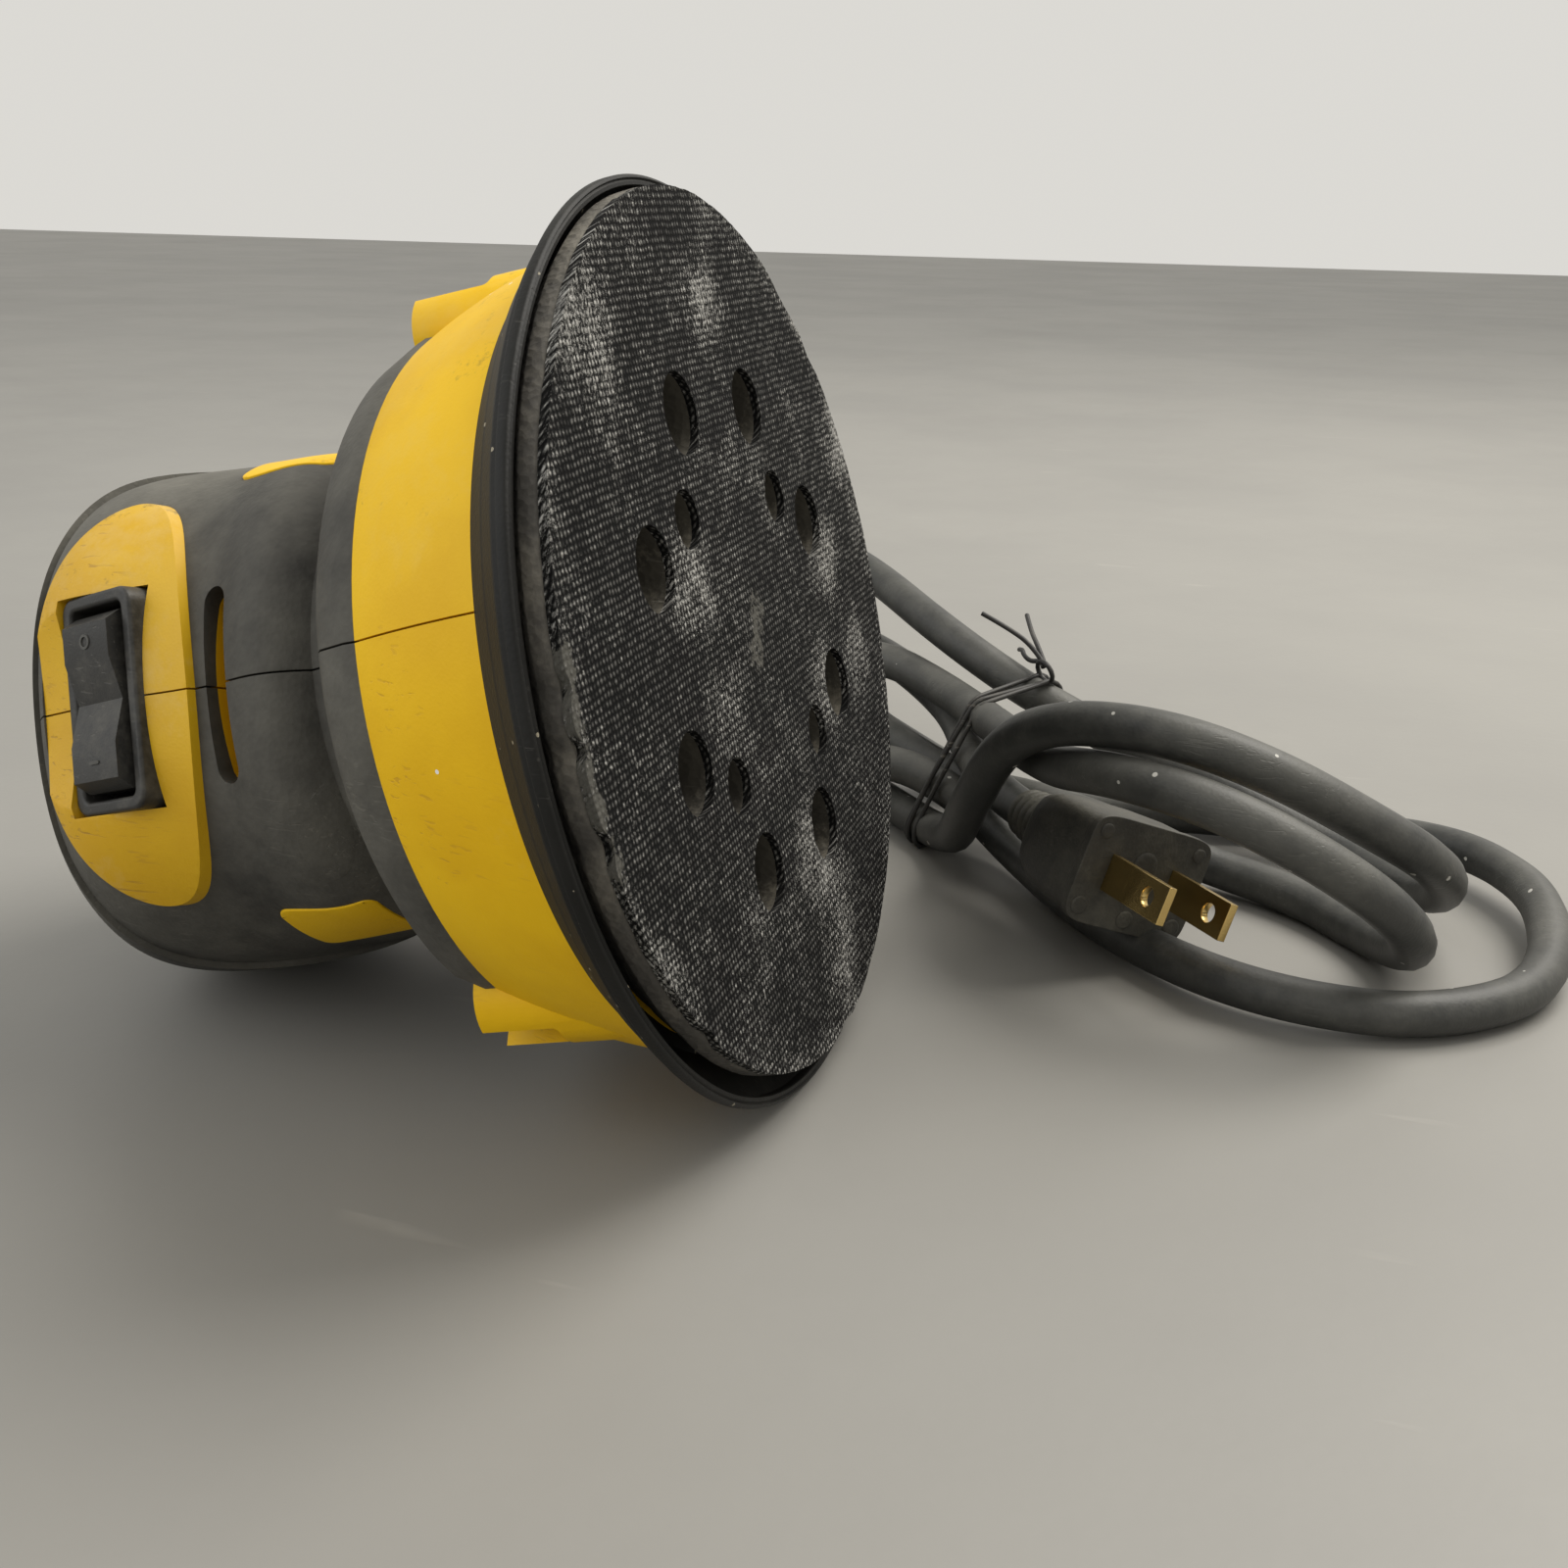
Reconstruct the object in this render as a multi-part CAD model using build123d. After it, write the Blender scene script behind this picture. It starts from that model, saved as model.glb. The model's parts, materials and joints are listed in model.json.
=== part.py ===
from build123d import *
import os
from math import cos, pi, radians, sin, sqrt, tan

# Corded random-orbit sander, resting on its side on the shroud rim and the head.
#
# The tool is drawn upright: the spindle is Z, the pad face is Z = 0, the front with the switch is -Y and the
# tool's left side is +X. laid_down() then lays everything down at once. All sizes are in mm and degrees.

# ------------------------------------------------------------------ pad
PAD_RADIUS = 62.0
HOOK_THICKNESS = 1.2
FOAM_THICKNESS = 8.0
FOAM_STRAIGHT_EDGE = 2.6
FOAM_TAPER = 5.0
PLATE_RADIUS = 51.5
PLATE_THICKNESS = 3.0
PLATE_RIB_HEIGHT = 1.0
PLATE_RIB_WIDTH = 2.0
DUST_HOLES = 8
DUST_HOLE_RADIUS = 5.6
DUST_HOLE_CIRCLE = 34.2
DUST_HOLE_PHASE = 8.0
SCREW_HOLES = 4
SCREW_HOLE_RADIUS = 4.0
SCREW_HOLE_CIRCLE = 25.5
SCREW_HOLE_PHASE = 30.5
PAD_SCREW_RADIUS = 2.0
PAD_SCREW_HEAD_RADIUS = 3.6
PAD_SCREW_HEAD_HEIGHT = 2.6
CARRIER_RADIUS = 31.0
CARRIER_FLANGE = 2.4
CARRIER_WALL = 3.0
CARRIER_FLOOR = 1.8
ORBIT_RADIUS = 1.2

# ------------------------------------------------------------------ bearings: bore radius, outer radius, width
PAD_BEARING_BORE = 6.0
PAD_BEARING_RADIUS = 14.0
PAD_BEARING_WIDTH = 8.0
LOWER_BEARING_RADIUS = 11.0
LOWER_BEARING_WIDTH = 7.0
UPPER_BEARING_RADIUS = 9.5
UPPER_BEARING_WIDTH = 6.0
BEARING_SPLIT = 0.45
BEARING_GAP = 0.1

# ------------------------------------------------------------------ rotor
SHAFT_RADIUS = 4.0
JOURNAL_RADIUS = 3.5
HUB_RADIUS = 12.0
COUNTERWEIGHT_RADIUS = 29.0
COUNTERWEIGHT_THICKNESS = 5.6
COUNTERWEIGHT_ANGLE = 150.0
FAN_RADIUS = 44.0
FAN_DISC = 1.5
FAN_BLADES = 9
FAN_BLADE_THICKNESS = 1.4
DUST_BLADE_HEIGHT = 9.0
DUST_BLADE_INNER = 31.5
COOLING_BLADE_HEIGHT = 2.8
COOLING_BLADE_INNER = 21.0
ARMATURE_RADIUS = 18.2
ARMATURE_LENGTH = 21.0
ARMATURE_SLOTS = 12
ARMATURE_SLOT_WIDTH = 2.2
ARMATURE_SLOT_DEPTH = 5.5
WINDING_RADIUS = 15.5
WINDING_LENGTH = 4.0
COMMUTATOR_RADIUS = 10.0
COMMUTATOR_LENGTH = 11.0
COMMUTATOR_BARS = 16
COMMUTATOR_SLIT = 0.6

# ------------------------------------------------------------------ stator
AIR_GAP = 0.4
FIELD_RADIUS = 27.5
COIL_INNER = 20.0
COIL_OUTER = 25.5
COIL_ANGLE = 130.0
BRUSH_WIDTH = 6.0
BRUSH_HEIGHT = 7.0
BRUSH_LENGTH = 10.0
BRUSH_AIR = 0.3
HOLDER_WALL = 1.0
SPRING_RADIUS = 2.2
SPRING_WIRE = 0.5
SPRING_TURNS = 4

# ------------------------------------------------------------------ shroud, skirt and fan chamber
SHROUD_LIP_Z = 3.5
SHROUD_LIP_RADIUS = 65.2
SHROUD_LIP_HEIGHT = 1.7
SHROUD_NECK_Z = 6.2
SHROUD_NECK_RADIUS = 63.9
SHROUD_WALL = 1.8
PAD_TO_SHROUD = 0.4
SKIRT_BASE_Z = 12.7
SKIRT_BASE_RADIUS = 57.4
SKIRT_TOP_Z = 33.0
SKIRT_TOP_RADIUS = 51.2
SKIRT_BULGE = 0.7
SPIGOT_DEPTH = 2.1
SPIGOT_STEP = 1.6
SPIGOT_WALL = 2.2
BAFFLE_Z = 15.0
BAFFLE_THICKNESS = 2.0
BAFFLE_BORE = 33.0
CHAMBER_RADIUS = 46.4
BRACKET_Z = 34.5
BRACKET_THICKNESS = 2.5
BRACKET_RADIUS = 45.0
BRACKET_WALL = 3.0
BRACKET_VENTS = 6
MOTOR_BAY_RADIUS = 28.8
FIELD_SEAT_WIDTH = 4.0

# ------------------------------------------------------------------ rim, neck and head
RIM_TOP_Z = 41.0
RIM_TOP_RADIUS = 48.5
RIM_EDGE = 1.6
NECK_Z = 50.0
NECK_RADIUS = 36.0
HEAD_Z = 84.0
HEAD_HALF_WIDTH = 39.0
HEAD_FRONT = 37.0
HEAD_REAR = 44.0
BROW_Z = 99.0
BROW_FRONT = 32.5
CROWN_Z = 121.5
HEAD_SQUARENESS = 2.35
SECTION_POINTS = 12
GRIP_THICKNESS = 2.2
PALM_THICKNESS = 1.0
PALM_EDGE_Z = 101.0
PALM_SLOPE = 32.0
CORE_HEAD_RADIUS = 34.4
CORE_TOP_RADIUS = 27.0
CORE_SHOULDER_Z = 92.0
CORE_BLOCK_RADIUS = 24.0
CORE_BLOCK_SHIFT = 8.0
CORE_BLOCK_TOP_Z = 108.0

# ------------------------------------------------------------------ vent, bosses and screws
VENT_Z = 64.6
VENT_HEIGHT = 4.4
VENT_LENGTH = 27.0
BOSS_CIRCLE = 49.6
BOSS_SIDE_ANGLE = 22.0
BOSS_RADIUS = 7.0
BOSS_TOP_Z = 36.5
BOSS_POCKET_RADIUS = 4.6
BOSS_SEAT_Z = 25.0
BAFFLE_SCREW_RADIUS = 2.0
BAFFLE_SCREW_HEAD_RADIUS = 3.8
BAFFLE_SCREW_HEAD_HEIGHT = 2.8
CASE_SCREW_RADIUS = 1.9
CASE_SCREW_HEAD_RADIUS = 3.6
CASE_SCREW_HEAD_HEIGHT = 2.4
CASE_SCREW_LENGTH = 22.0
# Axes of the screws that join the halves, from the right side: (y, z).
CASE_SCREWS = [(-8.0, 102.5), (31.2, 74.0), (31.2, 55.0), (-31.2, 53.5)]

# ------------------------------------------------------------------ switch
PANEL_TILT = 14.0
BEZEL_HALF_WIDTH = 29.0
BEZEL_HALF_HEIGHT = 14.5
BEZEL_PROUD = 1.3
BEZEL_WALL = 4.2
BEZEL_SCOOP_RADIUS = 60.0
BEZEL_SCOOP_DEPTH = 2.0
FRAME_LENGTH = 31.0
FRAME_HEIGHT = 15.5
FRAME_WALL = 2.0
FRAME_DEPTH = 5.0
FRAME_PROUD = 0.8
ROCKER_GAP = 0.7
ROCKER_END_GAP = 1.1
ROCKER_THICKNESS = 3.2
ROCKER_RISE = 2.6
ROCKER_PIVOT_DEPTH = 6.0
ROCKER_PIN_RADIUS = 1.2
SWITCH_DEPTH = 10.5
SWITCH_WELL = 6.0
TERMINAL_SPACING = 7.0
TERMINAL_SIZE = (0.8, 4.8, 4.0)

# ------------------------------------------------------------------ rear fittings
PORT_Z = 25.6
PORT_RADIUS = 11.5
PORT_BORE = 9.6
PORT_ROOT = 54.0
PORT_REACH = 84.0
PORT_COLLAR_RADIUS = 12.6
PORT_COLLAR_LENGTH = 4.0
CAPACITOR_WIDTH = 18.0
CAPACITOR_DEPTH = 9.0
CAPACITOR_HEIGHT = 14.0
CAPACITOR_Y = 22.0
BAY_GAP = 0.3
SIDE_PLATE_THICKNESS = 1.2
SIDE_PLATE_PROUD = 0.3
SIDE_PLATE_WIDTH = 14.0
SIDE_PLATE_HEIGHT = 16.0
SIDE_PLATE_Z = 61.0
SIDE_PLATE_ANGLE = 64.0

# ------------------------------------------------------------------ cord
CORD_RADIUS = 3.7
RELIEF_LENGTH = 34.0
RELIEF_ROOT_RADIUS = 7.5
RELIEF_TIP_RADIUS = 5.2
RELIEF_GROOVES = 5
CORD_EXIT_Z = 88.0
PLUG_WIDTH = 25.0
PLUG_HEIGHT = 19.0
PLUG_LENGTH = 24.0
PLUG_NECK_LENGTH = 14.0
PLUG_NECK_RADIUS = 6.0
BLADE_SPACING = 12.7
BLADE_WIDTH = 6.35
BLADE_THICKNESS = 1.5
BLADE_LENGTH = 16.5
BLADE_HOLE_RADIUS = 1.6
TIE_THICKNESS = 1.2
TIE_WIDTH = 3.0

# ------------------------------------------------------------------ resting pose
ROLL = 19.0
FIT = 0.05
OVERSIZE = 200.0

# Heights that follow from the sizes above.
FOAM_Z = HOOK_THICKNESS
PLATE_Z = FOAM_Z + FOAM_THICKNESS
CARRIER_Z = PLATE_Z + PLATE_THICKNESS
PAD_BEARING_Z = CARRIER_Z + CARRIER_FLOOR
PAD_BEARING_TOP = PAD_BEARING_Z + PAD_BEARING_WIDTH
COUNTERWEIGHT_Z = PAD_BEARING_TOP + 1.0
FAN_Z = COUNTERWEIGHT_Z + COUNTERWEIGHT_THICKNESS + 0.4
HUB_TOP = FAN_Z + FAN_DISC
LOWER_BEARING_Z = BRACKET_Z + BRACKET_THICKNESS
LOWER_BEARING_TOP = LOWER_BEARING_Z + LOWER_BEARING_WIDTH
ARMATURE_Z = LOWER_BEARING_TOP + WINDING_LENGTH + 1.0
ARMATURE_TOP = ARMATURE_Z + ARMATURE_LENGTH
COMMUTATOR_Z = ARMATURE_TOP + WINDING_LENGTH + 1.0
COMMUTATOR_TOP = COMMUTATOR_Z + COMMUTATOR_LENGTH
UPPER_BEARING_Z = COMMUTATOR_TOP + 3.0
UPPER_BEARING_TOP = UPPER_BEARING_Z + UPPER_BEARING_WIDTH
BRUSH_Z = COMMUTATOR_Z + COMMUTATOR_LENGTH / 2
MOTOR_BAY_TOP = UPPER_BEARING_Z - 1.0
PAD_PHASE = -ROLL
PAD_CENTRE = (ORBIT_RADIUS * cos(radians(PAD_PHASE)), ORBIT_RADIUS * sin(radians(PAD_PHASE)))


# ------------------------------------------------------------------ helpers
def raised(profile, height):
    """A flat profile drawn in XY, raised straight up."""
    return extrude(profile, amount=height, dir=(0, 0, 1))


def ring(outer, inner, z, height, centre=(0, 0)):
    """A flat ring about a vertical axis."""
    return Pos(centre[0], centre[1], z) * raised(Circle(outer) - Circle(inner), height)


def disc(radius, z, height, centre=(0, 0)):
    """A plain cylinder about a vertical axis, standing on z."""
    return Pos(centre[0], centre[1], z) * raised(Circle(radius), height)


def around(count, radius, phase=0.0):
    """Evenly spaced places on a circle, the first at the given angle."""
    return PolarLocations(radius, count, start_angle=phase)


def turned(points):
    """A solid of revolution about Z from an outline of (radius, height) corners."""
    outline = make_face(Polyline(*[(r, 0, z) for r, z in points], close=True))
    return revolve(outline, Axis.Z)


def side_half(body, side):
    """The half of a body on the left (+1) or right (-1) of the mid-plane."""
    half = Pos(side * OVERSIZE / 2, 0, 0) * Box(OVERSIZE, 2 * OVERSIZE, 2 * OVERSIZE)
    return body & half


def skirt_radius(z):
    """Outer radius of the skirt's straight cone at a height."""
    share = (z - SKIRT_BASE_Z) / (SKIRT_TOP_Z - SKIRT_BASE_Z)
    return SKIRT_BASE_RADIUS + share * (SKIRT_TOP_RADIUS - SKIRT_BASE_RADIUS)


# ------------------------------------------------------------------ pad group
def pad_holes(height):
    """Dust holes and screw holes, as one cutter that stands on the pad face."""
    dust = around(DUST_HOLES, DUST_HOLE_CIRCLE, DUST_HOLE_PHASE) * Circle(DUST_HOLE_RADIUS)
    screw = around(SCREW_HOLES, SCREW_HOLE_CIRCLE, SCREW_HOLE_PHASE) * Circle(SCREW_HOLE_RADIUS)
    return raised(Sketch() + dust + screw, height)


def hook_face():
    """Hook facing that grips the sanding disc."""
    return disc(PAD_RADIUS, 0, HOOK_THICKNESS) - pad_holes(HOOK_THICKNESS)


def foam_pad():
    """Foam with a straight edge at the face that tapers towards the backing plate."""
    shoulder = FOAM_Z + FOAM_STRAIGHT_EDGE
    body = turned([(0, FOAM_Z), (PAD_RADIUS, FOAM_Z), (PAD_RADIUS, shoulder),
                   (PAD_RADIUS - FOAM_TAPER, PLATE_Z), (0, PLATE_Z)])
    return body - pad_holes(PLATE_Z)


def pad_plate():
    """Backing plate with dust holes, screw holes and ribs between the holes."""
    top = PLATE_Z + PLATE_THICKNESS
    body = disc(PLATE_RADIUS, PLATE_Z, PLATE_THICKNESS)
    rib_length = PLATE_RADIUS - CARRIER_RADIUS - 3.0
    rib = Pos(CARRIER_RADIUS + 1.5 + rib_length / 2, 0, top + PLATE_RIB_HEIGHT / 2)
    rib = rib * Box(rib_length, PLATE_RIB_WIDTH, PLATE_RIB_HEIGHT)
    for index in range(DUST_HOLES):
        angle = DUST_HOLE_PHASE + (index + 0.5) * 360 / DUST_HOLES
        body += Rot(0, 0, angle) * rib
    body -= Pos(0, 0, PLATE_Z) * raised(
        Sketch() + around(DUST_HOLES, DUST_HOLE_CIRCLE, DUST_HOLE_PHASE) * Circle(DUST_HOLE_RADIUS),
        PLATE_THICKNESS + PLATE_RIB_HEIGHT)
    body -= Pos(0, 0, PLATE_Z) * raised(
        Sketch() + around(SCREW_HOLES, SCREW_HOLE_CIRCLE, SCREW_HOLE_PHASE) * Circle(PAD_SCREW_RADIUS),
        PLATE_THICKNESS)
    return body


def pad_carrier():
    """Aluminium carrier: a flange under the screws and a cup for the pad bearing."""
    cup = PAD_BEARING_RADIUS + CARRIER_WALL
    body = turned([(PAD_BEARING_BORE + 3, CARRIER_Z), (CARRIER_RADIUS, CARRIER_Z),
                   (CARRIER_RADIUS, CARRIER_Z + CARRIER_FLANGE), (cup + 1.5, CARRIER_Z + CARRIER_FLANGE),
                   (cup, CARRIER_Z + CARRIER_FLANGE + 2), (cup, PAD_BEARING_TOP),
                   (PAD_BEARING_RADIUS, PAD_BEARING_TOP), (PAD_BEARING_RADIUS, PAD_BEARING_Z),
                   (PAD_BEARING_BORE + 3, PAD_BEARING_Z)])
    dust = around(DUST_HOLES, DUST_HOLE_CIRCLE, DUST_HOLE_PHASE) * Circle(DUST_HOLE_RADIUS + 1)
    tapped = around(SCREW_HOLES, SCREW_HOLE_CIRCLE, SCREW_HOLE_PHASE) * Circle(PAD_SCREW_RADIUS)
    return body - Pos(0, 0, CARRIER_Z) * raised(Sketch() + dust + tapped, CARRIER_FLANGE)


def pad_screws():
    """Four screws whose heads sit in the small holes, against the backing plate."""
    head = disc(PAD_SCREW_HEAD_RADIUS, PLATE_Z - PAD_SCREW_HEAD_HEIGHT, PAD_SCREW_HEAD_HEIGHT)
    socket = Pos(0, 0, PLATE_Z - PAD_SCREW_HEAD_HEIGHT) * raised(RegularPolygon(1.9, 6), 1.6)
    shank = disc(PAD_SCREW_RADIUS, PLATE_Z, PLATE_THICKNESS + CARRIER_FLANGE)
    screw = head - socket + shank
    return Compound([place * screw for place in
                              around(SCREW_HOLES, SCREW_HOLE_CIRCLE, SCREW_HOLE_PHASE)])


def bearing_rings(bore, radius, z, width, centre=(0, 0)):
    """Inner and outer ring of a sealed ball bearing, a running gap apart."""
    split = bore + BEARING_SPLIT * (radius - bore)
    inner = ring(split - BEARING_GAP / 2, bore, z, width, centre)
    outer = ring(radius, split + BEARING_GAP / 2, z, width, centre)
    return inner, outer


# ------------------------------------------------------------------ rotor group
def counterweight():
    """Eccentric pin, hub and the weight that balances the pad."""
    pin = disc(PAD_BEARING_BORE, PAD_BEARING_Z, COUNTERWEIGHT_Z - PAD_BEARING_Z, PAD_CENTRE)
    hub = disc(HUB_RADIUS, COUNTERWEIGHT_Z, HUB_TOP - COUNTERWEIGHT_Z)
    half = COUNTERWEIGHT_ANGLE / 2
    sector = Sketch() + make_face(
        Polyline((0, 0), (COUNTERWEIGHT_RADIUS * cos(radians(-half)), COUNTERWEIGHT_RADIUS * sin(radians(-half))))
        + ThreePointArc((COUNTERWEIGHT_RADIUS * cos(radians(-half)), COUNTERWEIGHT_RADIUS * sin(radians(-half))),
                        (COUNTERWEIGHT_RADIUS, 0),
                        (COUNTERWEIGHT_RADIUS * cos(radians(half)), COUNTERWEIGHT_RADIUS * sin(radians(half))))
        + Line((COUNTERWEIGHT_RADIUS * cos(radians(half)), COUNTERWEIGHT_RADIUS * sin(radians(half))), (0, 0)))
    weight = Pos(0, 0, COUNTERWEIGHT_Z) * raised(sector, COUNTERWEIGHT_THICKNESS)
    body = pin + hub + Rot(0, 0, PAD_PHASE + 180) * weight
    return body - disc(SHAFT_RADIUS, COUNTERWEIGHT_Z, HUB_TOP)


def fan():
    """Fan disc with dust blades below and cooling blades above, bored for the hub."""
    body = ring(FAN_RADIUS, HUB_RADIUS, FAN_Z, FAN_DISC)
    dust_length = FAN_RADIUS - DUST_BLADE_INNER - 1
    cooling_length = FAN_RADIUS - COOLING_BLADE_INNER - 2
    dust = Pos(DUST_BLADE_INNER + dust_length / 2, 0, FAN_Z - DUST_BLADE_HEIGHT / 2)
    dust = dust * Rot(0, 0, 28) * Box(dust_length, FAN_BLADE_THICKNESS, DUST_BLADE_HEIGHT)
    cooling = Pos(COOLING_BLADE_INNER + cooling_length / 2, 0, HUB_TOP + COOLING_BLADE_HEIGHT / 2)
    cooling = cooling * Rot(0, 0, -14) * Box(cooling_length, FAN_BLADE_THICKNESS, COOLING_BLADE_HEIGHT)
    for place in around(FAN_BLADES, 0):
        body += place * dust
        body += place * cooling
    return body


def motor_shaft():
    """Shaft from the counterweight's hub to the journal of the upper bearing."""
    return turned([(0, COUNTERWEIGHT_Z), (SHAFT_RADIUS, COUNTERWEIGHT_Z), (SHAFT_RADIUS, UPPER_BEARING_Z),
                   (JOURNAL_RADIUS, UPPER_BEARING_Z), (JOURNAL_RADIUS, UPPER_BEARING_TOP), (0, UPPER_BEARING_TOP)])


def armature_core():
    """Slotted lamination stack pressed on the shaft."""
    profile = Circle(ARMATURE_RADIUS) - Circle(SHAFT_RADIUS)
    slot = Pos(ARMATURE_RADIUS - ARMATURE_SLOT_DEPTH / 2, 0) * Rectangle(ARMATURE_SLOT_DEPTH + 1, ARMATURE_SLOT_WIDTH)
    for place in around(ARMATURE_SLOTS, 0):
        profile -= place * slot
    return Pos(0, 0, ARMATURE_Z) * raised(profile, ARMATURE_LENGTH)


def armature_windings():
    """Rounded end turns on both faces of the core."""
    rings = []
    for z in (ARMATURE_Z - WINDING_LENGTH, ARMATURE_TOP):
        end_turn = ring(WINDING_RADIUS, SHAFT_RADIUS, z, WINDING_LENGTH)
        outer_edges = end_turn.edges().filter_by(GeomType.CIRCLE).group_by(SortBy.RADIUS)[-1]
        rings.append(chamfer(outer_edges, WINDING_LENGTH / 4))
    return Compound(rings)


def commutator():
    """Copper commutator with a slit between its bars."""
    profile = Circle(COMMUTATOR_RADIUS) - Circle(SHAFT_RADIUS)
    slit = Pos(COMMUTATOR_RADIUS, 0) * Rectangle(2, COMMUTATOR_SLIT)
    for place in around(COMMUTATOR_BARS, 0):
        profile -= place * slit
    return Pos(0, 0, COMMUTATOR_Z) * raised(profile, COMMUTATOR_LENGTH)


# ------------------------------------------------------------------ motor parts that stand still
def field_core():
    """Laminated field ring around the armature."""
    return ring(FIELD_RADIUS, ARMATURE_RADIUS + AIR_GAP, ARMATURE_Z, ARMATURE_LENGTH)


def field_coils():
    """Saddle coils: a half ring on each face of the core, left and right."""
    band = Circle(COIL_OUTER) - Circle(COIL_INNER)
    far = OVERSIZE * tan(radians(COIL_ANGLE / 2))
    wedge = make_face(Polyline((0, 0), (OVERSIZE, far), (OVERSIZE, -far), close=True))
    arc = band & wedge
    coils = []
    for z in (ARMATURE_Z - WINDING_LENGTH, ARMATURE_TOP):
        for turn in (0, 180):
            coils.append(Pos(0, 0, z) * Rot(0, 0, turn) * raised(arc, WINDING_LENGTH))
    return Compound(coils)


def motor_bracket():
    """Bracket between fan and motor: rim, spokes and the cup of the lower bearing."""
    cup = LOWER_BEARING_RADIUS + BRACKET_WALL
    body = turned([(SHAFT_RADIUS + 2.5, BRACKET_Z), (BRACKET_RADIUS, BRACKET_Z),
                   (BRACKET_RADIUS, LOWER_BEARING_Z), (cup + 1.5, LOWER_BEARING_Z), (cup, LOWER_BEARING_Z + 2),
                   (cup, LOWER_BEARING_TOP), (LOWER_BEARING_RADIUS, LOWER_BEARING_TOP),
                   (LOWER_BEARING_RADIUS, LOWER_BEARING_Z), (SHAFT_RADIUS + 2.5, LOWER_BEARING_Z)])
    middle = (cup + BRACKET_RADIUS) / 2 - 2
    vent = Pos(middle, 0) * SlotOverall(17, 13, rotation=0)
    vents = Sketch() + [place * vent for place in around(BRACKET_VENTS, 0, 30)]
    return body - Pos(0, 0, BRACKET_Z) * raised(vents, BRACKET_THICKNESS)


def brush_set(side):
    """Holder, carbon brush and coil spring on one side of the commutator."""
    tip = COMMUTATOR_RADIUS + BRUSH_AIR
    start = COMMUTATOR_RADIUS + 2
    end = MOTOR_BAY_RADIUS - 0.4
    outer = Pos((start + end) / 2, 0, BRUSH_Z)
    outer = outer * Box(end - start, BRUSH_WIDTH + 2 * HOLDER_WALL, BRUSH_HEIGHT + 2 * HOLDER_WALL)
    well = end - start - HOLDER_WALL
    holder = outer - Pos(start + well / 2, 0, BRUSH_Z) * Box(well, BRUSH_WIDTH, BRUSH_HEIGHT)
    brush = Pos(tip + BRUSH_LENGTH / 2, 0, BRUSH_Z) * Box(BRUSH_LENGTH, BRUSH_WIDTH, BRUSH_HEIGHT)
    face = Pos(0, 0, BRUSH_Z - BRUSH_HEIGHT / 2) * raised(Circle(COMMUTATOR_RADIUS + BRUSH_AIR), BRUSH_HEIGHT)
    brush -= face
    spring_start = tip + BRUSH_LENGTH
    spring_space = start + well - spring_start
    bore = SPRING_RADIUS - 2 * SPRING_WIRE
    pitch = spring_space / (2 * SPRING_TURNS)
    spring = None
    for step in range(2 * SPRING_TURNS):
        radius = SPRING_RADIUS if step % 2 == 0 else SPRING_RADIUS - SPRING_WIRE
        loop = Pos(spring_start + step * pitch, 0, BRUSH_Z) * Rot(0, 90, 0) * raised(Circle(radius) - Circle(bore),
                                                                                     pitch)
        spring = loop if spring is None else spring + loop
    turn = Rot(0, 0, 0 if side > 0 else 180)
    return turn * holder, turn * brush, turn * spring


# ------------------------------------------------------------------ shroud and housing
def shroud_ring():
    """Soft rubber ring with a double lip around the pad."""
    lip_top = SHROUD_LIP_Z + SHROUD_LIP_HEIGHT
    lip_inner = PAD_RADIUS + ORBIT_RADIUS + PAD_TO_SHROUD
    collar_inner = SKIRT_BASE_RADIUS - SPIGOT_STEP
    collar_z = SKIRT_BASE_Z - SPIGOT_DEPTH
    return turned([(lip_inner, SHROUD_LIP_Z), (SHROUD_LIP_RADIUS - 0.5, SHROUD_LIP_Z),
                   (SHROUD_LIP_RADIUS, SHROUD_LIP_Z + 0.5), (SHROUD_LIP_RADIUS, lip_top - 0.5),
                   (SHROUD_NECK_RADIUS, lip_top + 0.2), (SHROUD_NECK_RADIUS, SHROUD_NECK_Z),
                   (SKIRT_BASE_RADIUS, SKIRT_BASE_Z), (collar_inner, SKIRT_BASE_Z), (collar_inner, collar_z),
                   (collar_inner + SHROUD_WALL, collar_z), (SHROUD_NECK_RADIUS - SHROUD_WALL, SHROUD_NECK_Z),
                   (lip_inner, lip_top - 0.2)])


def head_section(z, half_width, front, rear, grow):
    """One superellipse cross-section of the neck or head, grown outwards by a distance."""
    half_depth = (front + rear) / 2 + grow
    half_width = half_width + grow
    squareness = 2 / HEAD_SQUARENESS
    points = []
    for index in range(SECTION_POINTS):
        angle = 2 * pi * index / SECTION_POINTS
        x = half_width * abs(cos(angle)) ** squareness * (1 if cos(angle) >= 0 else -1)
        y = half_depth * abs(sin(angle)) ** squareness * (1 if sin(angle) >= 0 else -1)
        points.append((x, y + (rear - front) / 2, z))
    return make_face(Spline(*points, periodic=True))


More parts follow.
